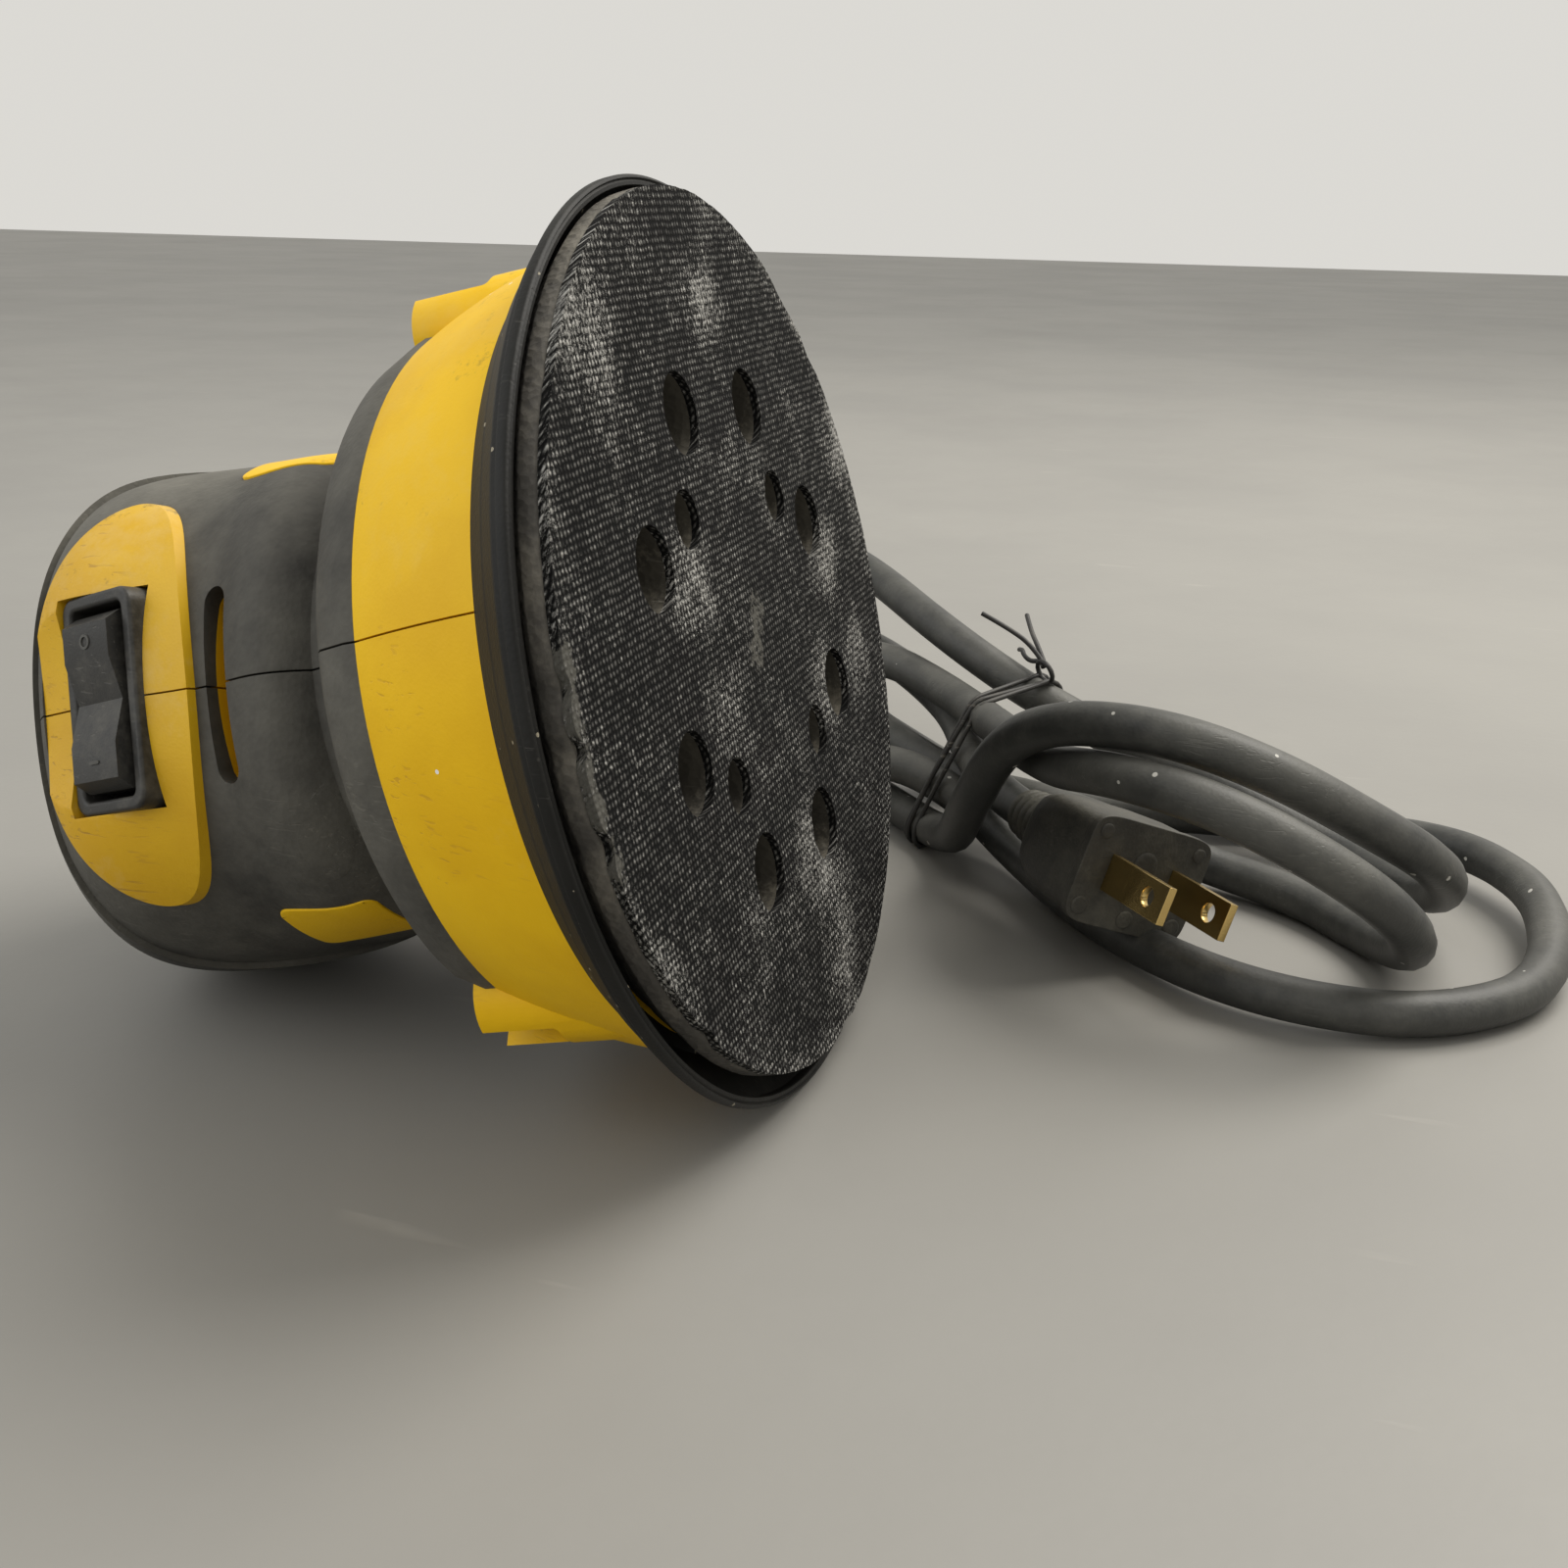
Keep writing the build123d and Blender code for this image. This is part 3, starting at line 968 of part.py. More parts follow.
def main():
    """Build every piece, lay the tool down and write the files."""
    os.makedirs("parts", exist_ok=True)
    on_pad = Pos(PAD_CENTRE[0], PAD_CENTRE[1], 0)
    pad_inner, pad_outer = bearing_rings(PAD_BEARING_BORE, PAD_BEARING_RADIUS, PAD_BEARING_Z, PAD_BEARING_WIDTH,
                                         PAD_CENTRE)
    low_inner, low_outer = bearing_rings(SHAFT_RADIUS, LOWER_BEARING_RADIUS, LOWER_BEARING_Z, LOWER_BEARING_WIDTH)
    top_inner, top_outer = bearing_rings(JOURNAL_RADIUS, UPPER_BEARING_RADIUS, UPPER_BEARING_Z, UPPER_BEARING_WIDTH)
    case = housing()
    rubber = grips()
    oval = bezel()
    brushes = {side: brush_set(side) for side in (1, -1)}
    parts = {
        "hook_face": on_pad * hook_face(),
        "foam_pad": on_pad * foam_pad(),
        "pad_plate": on_pad * pad_plate(),
        "pad_carrier": on_pad * pad_carrier(),
        "pad_screws": on_pad * pad_screws(),
        "pad_bearing_outer": pad_outer,
        "pad_bearing_inner": pad_inner,
        "counterweight": counterweight(),
        "fan": fan(),
        "motor_shaft": motor_shaft(),
        "armature_core": armature_core(),
        "armature_windings": armature_windings(),
        "commutator": commutator(),
        "lower_bearing_inner": low_inner,
        "lower_bearing_outer": low_outer,
        "upper_bearing_inner": top_inner,
        "upper_bearing_outer": top_outer,
        "field_core": field_core(),
        "field_coils": field_coils(),
        "motor_bracket": motor_bracket(),
        "shroud_ring": shroud_ring(),
        "housing_left": side_half(case, 1),
        "housing_right": side_half(case, -1),
        "grip_left": side_half(rubber, 1),
        "grip_right": side_half(rubber, -1),
        "palm_grip": palm_grip(),
        "bezel_left": side_half(oval, 1),
        "bezel_right": side_half(oval, -1),
        "switch_frame": switch_frame(),
        "rocker": rocker(),
        "switch_body": switch_body(),
        "fan_baffle": fan_baffle(),
        "baffle_screws": baffle_screws(),
        "case_screws": case_screws(),
        "dust_port": dust_port(),
        "capacitor": capacitor(),
        "side_plate_left": side_plate(1),
        "side_plate_right": side_plate(-1),
        "strain_relief": strain_relief(),
    }
    for side, name in ((1, "left"), (-1, "right")):
        parts["brush_holder_" + name], parts["brush_" + name], parts["brush_spring_" + name] = brushes[side]

    tilt = min(resting_tilt(parts["shroud_ring"], parts[name]) for name in ("grip_right", "palm_grip"))
    place = laid_down(tilt)
    laid = {name: place * body for name, body in parts.items()}
    on_cord = ("strain_relief",)
    box = None
    for name, body in laid.items():
        if name not in on_cord:
            box = body.bounding_box() if box is None else box.add(body.bounding_box())
    drop = Vector(-box.center().X, -box.center().Y, -box.min.Z)
    pad_middle = (place * on_pad).position + drop
    exit_point = (place * Pos(0, HEAD_REAR + RELIEF_LENGTH, CORD_EXIT_Z)).position + drop
    inner_point = (place * Pos(0, HEAD_REAR + RELIEF_LENGTH - LEAD_INSIDE, CORD_EXIT_Z)).position + drop
    along = (exit_point - inner_point).normalized()
    foot = Vector(pad_middle.X, pad_middle.Y, 0)
    print("tilt", round(tilt, 5), "pad middle", pad_middle, "exit", exit_point, "along", along)

    for name, body in laid.items():
        write(name, Pos(*drop) * body)
    at_foot = Pos(*foot)
    lead = [tuple(inner_point - foot), tuple(exit_point + along * LEAD_STRAIGHT - foot)] + LEAD_ROUTE
    write("cord_lead", at_foot * cord_tube(lead))
    write("cord_hank", at_foot * cord_hank())
    write("cord_tie", at_foot * cord_tie())
    write("plug_body", at_foot * plug_body())
    write("plug_blades", at_foot * plug_blades())


main()
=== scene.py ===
"""Looks of a corded palm sander that lies on its side beside its tied lead.

Every size is in metres unless its name, its class or its comment says otherwise. The tool's own frame has
the spindle as Z, the pad face at Z = 0, the switch towards -Y and the tool's left side towards +X.
"""

import json
import logging
import math
from contextlib import contextmanager
from dataclasses import dataclass, field
from enum import Enum
from typing import Any, Callable, Iterator, Sequence

import bmesh
import bpy
from mathutils import Matrix, Vector, geometry, noise

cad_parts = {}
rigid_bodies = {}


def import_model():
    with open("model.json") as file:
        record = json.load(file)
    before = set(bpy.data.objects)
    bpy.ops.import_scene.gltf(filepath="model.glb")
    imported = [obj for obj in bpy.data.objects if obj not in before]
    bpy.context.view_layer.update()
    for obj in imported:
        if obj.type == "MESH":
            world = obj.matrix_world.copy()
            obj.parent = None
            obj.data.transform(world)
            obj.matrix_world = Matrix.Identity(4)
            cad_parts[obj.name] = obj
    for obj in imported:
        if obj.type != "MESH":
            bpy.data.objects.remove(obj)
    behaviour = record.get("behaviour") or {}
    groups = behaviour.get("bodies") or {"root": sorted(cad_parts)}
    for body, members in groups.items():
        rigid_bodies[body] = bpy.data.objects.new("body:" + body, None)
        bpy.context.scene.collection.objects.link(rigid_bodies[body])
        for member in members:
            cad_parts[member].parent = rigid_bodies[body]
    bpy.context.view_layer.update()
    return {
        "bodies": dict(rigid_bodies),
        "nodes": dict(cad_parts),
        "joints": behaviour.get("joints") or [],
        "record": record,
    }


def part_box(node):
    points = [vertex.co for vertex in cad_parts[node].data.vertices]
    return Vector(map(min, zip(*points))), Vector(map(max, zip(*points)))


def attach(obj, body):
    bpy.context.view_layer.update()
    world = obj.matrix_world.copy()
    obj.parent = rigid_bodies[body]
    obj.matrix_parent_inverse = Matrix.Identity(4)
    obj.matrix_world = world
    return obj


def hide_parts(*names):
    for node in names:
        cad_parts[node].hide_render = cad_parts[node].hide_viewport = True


LOG = logging.getLogger("sander")
MM = 0.001
WELD = 0.000004
DOUBLES = 0.000002
FLAT = math.radians(0.4)
NODE_GAP = 180
Colour = tuple[float, float, float]
Point = tuple[float, float, float]
Pair = tuple[float, float]
Spot = tuple[float, float, float, float]
Socket = bpy.types.NodeSocket
Thing = bpy.types.Object


class Body(Enum):
    """Bodies that the new pieces ride on, by their names in the record."""

    CASE = "case"
    PAD = "pad"
    ROCKER = "rocker"


class Slot(Enum):
    """Material slots of the record that the pieces use."""

    YELLOW = "yellow_plastic"
    RUBBER = "black_rubber"
    HOOK = "hook_fabric"
    FOAM = "pad_foam"
    BLACK = "black_plastic"
    BRASS = "brass"


# ---------------------------------------------------------------- shader helpers
class Graph:
    """A node tree under construction, with short calls to add and join nodes."""

    def __init__(self, tree: bpy.types.NodeTree) -> None:
        """Keep the tree of a material or of a shader group to work on."""
        self.tree = tree
        self.column = 0

    def put(self, value: Any, target: Socket) -> None:
        """Give an input its value.

        Args:
            value: Socket to link, or a plain number, vector or colour.
            target: Input to link or set.
        """
        if isinstance(value, bpy.types.NodeSocket):
            self.tree.links.new(value, target)
        else:
            target.default_value = value

    def add(self, kind: str, **settings: Any) -> bpy.types.Node:
        """Add a node and set its properties and inputs.

        Args:
            kind: Blender's node type, such as ShaderNodeTexNoise.
            settings: Node properties by name, and inputs by name with spaces as underscores.

        Returns:
            The new node.
        """
        node = self.tree.nodes.new(kind)
        node.location = (self.column * NODE_GAP, 0)
        self.column += 1
        for key, value in settings.items():
            if hasattr(node, key):
                setattr(node, key, value)
            else:
                self.put(value, node.inputs[key.replace("_", " ")])
        return node

    def sum(self, kind: str, first: Any, second: Any = 0.0, clamp: bool = False) -> Socket:
        """Combine two values with a Math node.

        Args:
            kind: Math operation.
            first: Socket or number.
            second: Socket or number.
            clamp: Keep the result between 0 and 1.

        Returns:
            The result's socket.
        """
        node = self.add("ShaderNodeMath", operation=kind, use_clamp=clamp)
        self.put(first, node.inputs[0])
        self.put(second, node.inputs[1])
        return node.outputs[0]

    def plus(self, first: Any, second: Any, clamp: bool = False) -> Socket:
        """Add two sockets or numbers."""
        return self.sum("ADD", first, second, clamp)

    def times(self, first: Any, second: Any, clamp: bool = False) -> Socket:
        """Multiply two sockets or numbers."""
        return self.sum("MULTIPLY", first, second, clamp)

    def cloud(self, place: Socket, **settings: Any) -> Socket:
        """Value of a noise texture at a place, with its inputs by name."""
        return self.add("ShaderNodeTexNoise", Vector=place, **settings).outputs[0]

    def shared(self, group: bpy.types.NodeTree, **values: float) -> bpy.types.bpy_prop_collection:
        """Place a shader group with its inputs by name, and give its outputs."""
        return self.add("ShaderNodeGroup", node_tree=group, **values).outputs

    def between(self, low: float, high: float, value: Socket) -> Socket:
        """Stretch a value so that low gives 0 and high gives 1, smoothly and clamped.

        Args:
            low: Value that gives 0.
            high: Value that gives 1.
            value: Socket to stretch.

        Returns:
            The result's socket.
        """
        node = self.add("ShaderNodeMapRange", interpolation_type="SMOOTHSTEP", From_Min=low, From_Max=high,
                        Value=value)
        return node.outputs["Result"]

    def mix(self, share: Socket, under: Any, over: Any) -> Socket:
        """Blend two colours by a mask.

        Args:
            share: Mask that shows the second colour.
            under: Colour or socket where the mask is 0.
            over: Colour or socket where the mask is 1.

        Returns:
            The blended colour's socket.
        """
        node = self.add("ShaderNodeMix", data_type="RGBA", blend_type="MIX", Factor=share)
        for name, value in (("A", under), ("B", over)):
            socket = next(s for s in node.inputs if s.name == name and s.type == "RGBA")
            self.put(value if isinstance(value, bpy.types.NodeSocket) else (*value, 1.0), socket)
        return next(s for s in node.outputs if s.type == "RGBA")

    def surface(self, colour: Socket, bump: bpy.types.Node, **settings: Any) -> None:
        """Close a material with its shader and output.

        Args:
            colour: Base colour.
            bump: Bump node.
            settings: Further inputs of the shader.
        """
        shader = self.add("ShaderNodeBsdfPrincipled", Base_Color=colour, Normal=bump.outputs[0], **settings)
        self.add("ShaderNodeOutputMaterial", Surface=shader.outputs[0])


def new_group(name: str, inputs: dict[str, float], outputs: Sequence[str]) -> tuple[Graph, Any, Socket]:
    """Start a shader group with number inputs and outputs.

    Args:
        name: Name of the group.
        inputs: Input names and their usual values.
        outputs: Output names.

    Returns:
        A graph to fill the group, the sockets of its inputs, and the object's coordinates.
    """
    tree = bpy.data.node_groups.new(name, "ShaderNodeTree")
    for key, value in inputs.items():
        socket = tree.interface.new_socket(key, in_out="INPUT", socket_type="NodeSocketFloat")
        socket.default_value = value
    for key in outputs:
        tree.interface.new_socket(key, in_out="OUTPUT", socket_type="NodeSocketFloat")
    graph = Graph(tree)
    return graph, graph.add("NodeGroupInput").outputs, graph.add("ShaderNodeTexCoord").outputs["Object"]


def new_material(name: str) -> tuple[bpy.types.Material, Graph]:
    """Start a material with an empty tree.

    Args:
        name: Name of the material.

    Returns:
        The material and a graph to fill it.
    """
    made = bpy.data.materials.new(name)
    made.use_nodes = True
    made.node_tree.nodes.clear()
    return made, Graph(made.node_tree)


class Wear:
    """Shader groups for dust with painted top light, scuffs, grain and specks that the finishes share."""

    def __init__(self) -> None:
        """Build each group once."""
        self.dust = self._dust_and_top_light()
        self.scuffs = self._scuffs()
        self.grain = self._grain()
        self.specks = self._specks()

    def _dust_and_top_light(self) -> bpy.types.NodeTree:
        """Patchy dust that lies in clouds, with more of the mask on faces that look up as painted light on
        the tops and painted shade below.

        Returns:
            The group, which puts out a mask.
        """
        graph, given, place = new_group("dust", {"Size": 60.0, "Level": 0.5, "Softness": 0.25}, ["Mask"])
        cloud = graph.cloud(place, Scale=given["Size"], Detail=6.0, Roughness=0.62)
        fine = graph.cloud(place, Scale=graph.times(given["Size"], 9.0), Detail=3.0, Roughness=0.7)
        mixed = graph.plus(graph.times(cloud, 0.72), graph.times(fine, 0.28))
        facing = graph.add("ShaderNodeNewGeometry").outputs["Normal"]
        split = graph.add("ShaderNodeSeparateXYZ", Vector=facing)
        # Faces that look up get a higher mask: painted light on the tops and painted shade on faces that
        # look down, added to the dust clouds.
        dust_and_top_light = graph.plus(mixed, graph.times(split.outputs["Z"], 0.09))
        shifted = graph.sum("SUBTRACT", dust_and_top_light, given["Level"])
        graph.add("NodeGroupOutput", Mask=graph.sum("DIVIDE", shifted, given["Softness"], clamp=True))
        return graph.tree

    def _scuffs(self) -> bpy.types.NodeTree:
        """Short thin scratches in two directions.

        Returns:
            The group, which puts out a mask and a height.
        """
        graph, given, place = new_group("scuffs", {"Size": 90.0, "Level": 0.62}, ["Mask", "Height"])
        masks = []
        for turn in ((0.3, 0.5, 0.2), (1.1, -0.4, 1.9)):
            drawn = graph.add("ShaderNodeMapping", Vector=place, Rotation=turn, Scale=(1.0, 14.0, 14.0))
            lines = graph.cloud(drawn.outputs[0], Scale=given["Size"], Detail=2.0, Roughness=0.5,
                                Distortion=0.4)
            masks.append(graph.times(graph.sum("SUBTRACT", lines, given["Level"]), 16.0, clamp=True))
        patches = graph.cloud(place, Scale=38.0, Detail=2.0)
        both = graph.times(graph.sum("MAXIMUM", *masks), graph.between(0.5, 0.66, patches))
        graph.add("NodeGroupOutput", Mask=both, Height=graph.times(both, -1.0))
        return graph.tree

    def _grain(self) -> bpy.types.NodeTree:
        """Fine moulded grain.

        Returns:
            The group, which puts out a height.
        """
        graph, given, place = new_group("grain", {"Size": 1400.0}, ["Height"])
        pebbles = graph.add("ShaderNodeTexVoronoi", feature="F1", Vector=place, Scale=given["Size"])
        soft = graph.cloud(place, Scale=graph.times(given["Size"], 0.4), Detail=4.0, Roughness=0.6)
        graph.add("NodeGroupOutput", Height=graph.plus(pebbles.outputs["Distance"], soft))
        return graph.tree

    def _specks(self) -> bpy.types.NodeTree:
        """Sparse small round specks, as of paint or sawdust.

        Returns:
            The group, which puts out a mask.
        """
        graph, given, place = new_group("specks", {"Size": 400.0, "Radius": 0.12, "Share": 0.3}, ["Mask"])
        cells = graph.add("ShaderNodeTexVoronoi", feature="F1", Vector=place, Scale=given["Size"],
                          Randomness=1.0)
        near = graph.sum("LESS_THAN", cells.outputs["Distance"], given["Radius"])
        split = graph.add("ShaderNodeSeparateColor", Color=cells.outputs["Color"])
        chosen = graph.sum("LESS_THAN", split.outputs[0], given["Share"])
        graph.add("NodeGroupOutput", Mask=graph.times(near, chosen))
        return graph.tree


@dataclass(frozen=True)
class Finish:
    """A worn surface: base and second tone, dust with painted top light, scuffs, specks and grain."""

    name: str
    base: Colour
    tone: Colour
    dust: Colour = (0.42, 0.39, 0.33)
    roughness: float = 0.42
    dust_roughness: float = 0.85
    tone_size: float = 35.0
    dust_size: float = 45.0
    dust_level: float = 0.58
    dust_softness: float = 0.35
    dust_strength: float = 0.4
    scuff_level: float = 0.66
    scuff_size: float = 90.0
    scuff: Colour = (0.3, 0.28, 0.24)
    scuff_strength: float = 0.4
    speck: Colour = (0.8, 0.8, 0.78)
    speck_size: float = 380.0
    speck_radius: float = 0.16
    speck_share: float = 0.0
    grime: Colour = (0.03, 0.028, 0.025)
    grime_size: float = 130.0
    grime_level: float = 0.72
    grime_softness: float = 0.12
    grime_strength: float = 0.0
    grain: float = 2600.0
    grain_depth: float = 2e-05
    scuff_depth: float = 0.00004
    metallic: float = 0.0
    gloss: float = 0.35

    def material(self, wear: Wear) -> bpy.types.Material:
        """Build the material from the shared groups.

        Args:
            wear: Shared shader groups.

        Returns:
            The new material.
        """
        made, graph = new_material(self.name)
        place = graph.add("ShaderNodeTexCoord").outputs["Object"]
        tone = graph.cloud(place, Scale=self.tone_size, Detail=5.0, Roughness=0.6)
        colour = graph.mix(graph.between(0.35, 0.68, tone), self.base, self.tone)
        scuffs = graph.shared(wear.scuffs, Size=self.scuff_size, Level=self.scuff_level)
        colour = graph.mix(graph.times(scuffs["Mask"], self.scuff_strength), colour, self.scuff)
        if self.grime_strength > 0:
            grime = graph.shared(wear.dust, Size=self.grime_size, Level=self.grime_level,
                                 Softness=self.grime_softness)
            colour = graph.mix(graph.times(grime["Mask"], self.grime_strength), colour, self.grime)
        # The dust mask also carries painted light on faces that look up and painted shade on faces that
        # look down.
        dust = graph.shared(wear.dust, Size=self.dust_size, Level=self.dust_level,
                            Softness=self.dust_softness)
        dusty = graph.times(dust["Mask"], self.dust_strength)
        colour = graph.mix(dusty, colour, self.dust)
        if self.speck_share > 0:
            specks = graph.shared(wear.specks, Size=self.speck_size, Radius=self.speck_radius,
                                  Share=self.speck_share)
            colour = graph.mix(specks["Mask"], colour, self.speck)
        dulled = graph.times(dusty, self.dust_roughness - self.roughness)
        rough = graph.plus(self.roughness, dulled, clamp=True)
        rough = graph.plus(rough, graph.times(tone, 0.08), clamp=True)
        grain = graph.shared(wear.grain, Size=self.grain)
        height = graph.plus(graph.times(grain["Height"], self.grain_depth),
                            graph.times(scuffs["Height"], self.scuff_depth))
        bump = graph.add("ShaderNodeBump", Strength=0.8, Distance=1.0, Height=height)
        graph.surface(colour, bump, Metallic=self.metallic, Roughness=rough,
                      Specular_IOR_Level=0.5 if self.metallic else self.gloss)
        return made


@dataclass(frozen=True)
class HookFinish:
    """Woven hook facing with dust caught in it; it reads the piece's own UV map, in millimetres."""

    name: str = "hook_facing"
    thread: Colour = (0.095, 0.093, 0.087)
    # Near-black painted shade for the low places between the loops, not a colour of the fabric.
    valley_shade: Colour = (0.0025, 0.0025, 0.0025)
    dust: Colour = (0.47, 0.46, 0.43)
    worn: Colour = (0.11, 0.106, 0.092)
    pitch_across: float = 0.95
    pitch_along: float = 0.95
    lay: float = 19.0
    edge: Pair = (56.5, 62.0)
    sway: float = 0.7
    loop_share: float = 0.8
    chance_share: float = 0.75
    chance_least: float = 0.3
    raised_share: float = 0.85
    fuzz_share: float = 0.45
    cloth_range: Pair = (0.28, 0.95)
    patch_share: float = 0.42
    caught_share: float = 0.17
    rim_share: float = 0.06
    powder_range: Pair = (0.83, 0.95)
    powder_cover: float = 0.85
    powder_height: float = 0.35
    tear_share: float = 2.4
    bare_range: Pair = (0.45, 0.7)
    bare_cover: float = 0.8
    dusty: tuple[Spot, ...] = (
        (15.0, 33.0, 12.0, 0.12), (-6.0, 29.0, 11.0, 0.12), (-33.0, 16.0, 13.0, 0.12),
        (30.0, -47.0, 12.0, 0.09), (4.0, -23.0, 13.0, 0.12), (37.0, 45.0, 12.0, 0.11),
        (57.0, 33.0, 8.0, 0.2), (44.0, -8.0, 12.0, 0.08), (-20.0, -5.0, 9.0, 0.05), (0.0, 46.0, 11.0, 0.1),
        (-12.0, -14.0, 12.0, 0.07), (-46.0, 22.0, 12.0, 0.09), (22.0, 10.0, 11.0, 0.05),
        (-44.0, -14.0, 13.0, 0.06))
    bare: tuple[Spot, ...] = (
        (3.0, 0.6, 5.4, 0.66), (-2.8, -1.6, 5.0, 0.66), (-9.0, -61.5, 5.0, 0.9), (-14.0, -61.0, 5.0, 0.9),
        (-20.0, -59.5, 5.5, 0.9), (-26.0, -57.0, 5.5, 0.9), (-32.0, -53.5, 5.0, 0.8),
        (58.5, 27.5, 5.0, 0.8), (54.5, 36.5, 5.0, 0.7))

    def spots(self, graph: Graph, place: Socket, spots: Sequence[Spot]) -> Socket:
        """Sum of soft round spots.

        Args:
            graph: Graph to add to.
            place: Coordinates in millimetres.
            spots: Middle, radius and strength of each spot.

        Returns:
            The summed strength.
        """
        total: Any = 0.0
        for x, y, radius, strength in spots:
            gap = graph.add("ShaderNodeVectorMath", operation="DISTANCE", Vector=place)
            gap.inputs[1].default_value = (x, y, 0.0)
            near = graph.between(radius, radius * 0.25, gap.outputs["Value"])
            total = graph.plus(graph.times(near, strength), total)
        return total

    def material(self, wear: Wear) -> bpy.types.Material:
        """Build the weave, its worn patches and the dust.

        Args:
            wear: Shared shader groups.

        Returns:
            The new material.
        """
        made, graph = new_material(self.name)
        place = graph.add("ShaderNodeTexCoord").outputs["UV"]
        turned = graph.add("ShaderNodeMapping", Vector=place, Rotation=(0.0, 0.0, math.radians(self.lay)))
        split = graph.add("ShaderNodeSeparateXYZ", Vector=turned.outputs[0])
        warp = graph.cloud(place, Scale=0.3, Detail=3.0)
        sway = graph.times(graph.sum("SUBTRACT", warp, 0.5), self.sway)
        waves, cells = [], graph.add("ShaderNodeCombineXYZ")
        for axis, pitch in (("X", self.pitch_across), ("Y", self.pitch_along)):
            count = graph.sum("DIVIDE", graph.plus(split.outputs[axis], sway), pitch)
            graph.put(graph.sum("FLOOR", count), cells.inputs[axis])
            wave = graph.sum("COSINE", graph.times(count, math.tau))
            wave = graph.plus(graph.times(wave, -0.5), 0.5)
            waves.append(graph.plus(graph.times(wave, self.loop_share), 1.0 - self.loop_share))
        chance = graph.add("ShaderNodeTexWhiteNoise", Vector=cells.outputs[0]).outputs["Value"]
        lift = graph.plus(graph.times(chance, self.chance_share), self.chance_least)
        raised = graph.times(graph.times(*waves), lift)
        fuzz = graph.cloud(place, Scale=1.9, Detail=5.0, Roughness=0.85)
        cloth = graph.plus(graph.times(raised, self.raised_share), graph.times(fuzz, self.fuzz_share))
        # Colour follows the weave's height: painted shade darkens the valleys between the loops.
        colour = graph.mix(graph.between(*self.cloth_range, cloth), self.valley_shade, self.thread)
        patches = graph.cloud(place, Scale=0.06, Detail=5.0, Roughness=0.65)
        flecks = graph.cloud(place, Scale=1.35, Detail=4.0, Roughness=1.0)
        out = graph.add("ShaderNodeVectorMath", operation="LENGTH", Vector=place).outputs["Value"]
        rim = graph.times(graph.between(*self.edge, out), self.rim_share)
        amount = graph.plus(graph.times(patches, self.patch_share), flecks)
        amount = graph.plus(amount, graph.times(raised, self.caught_share))
        amount = graph.plus(amount, graph.plus(rim, self.spots(graph, place, self.dusty)))
        powder = graph.between(*self.powder_range, amount)
        colour = graph.mix(graph.times(powder, self.powder_cover), colour, self.dust)
        tears = graph.cloud(place, Scale=0.55, Detail=4.0, Roughness=0.75)
        torn = graph.times(graph.sum("SUBTRACT", tears, 0.5), self.tear_share)
        bare = graph.between(*self.bare_range, graph.plus(self.spots(graph, place, self.bare), torn))
        colour = graph.mix(graph.times(bare, self.bare_cover), colour, self.worn)
        height = graph.plus(cloth, graph.times(powder, self.powder_height))
        bump = graph.add("ShaderNodeBump", Strength=0.75, Distance=0.0006, Height=height)
        graph.surface(colour, bump, Roughness=0.9, Specular_IOR_Level=0.12)
        return made


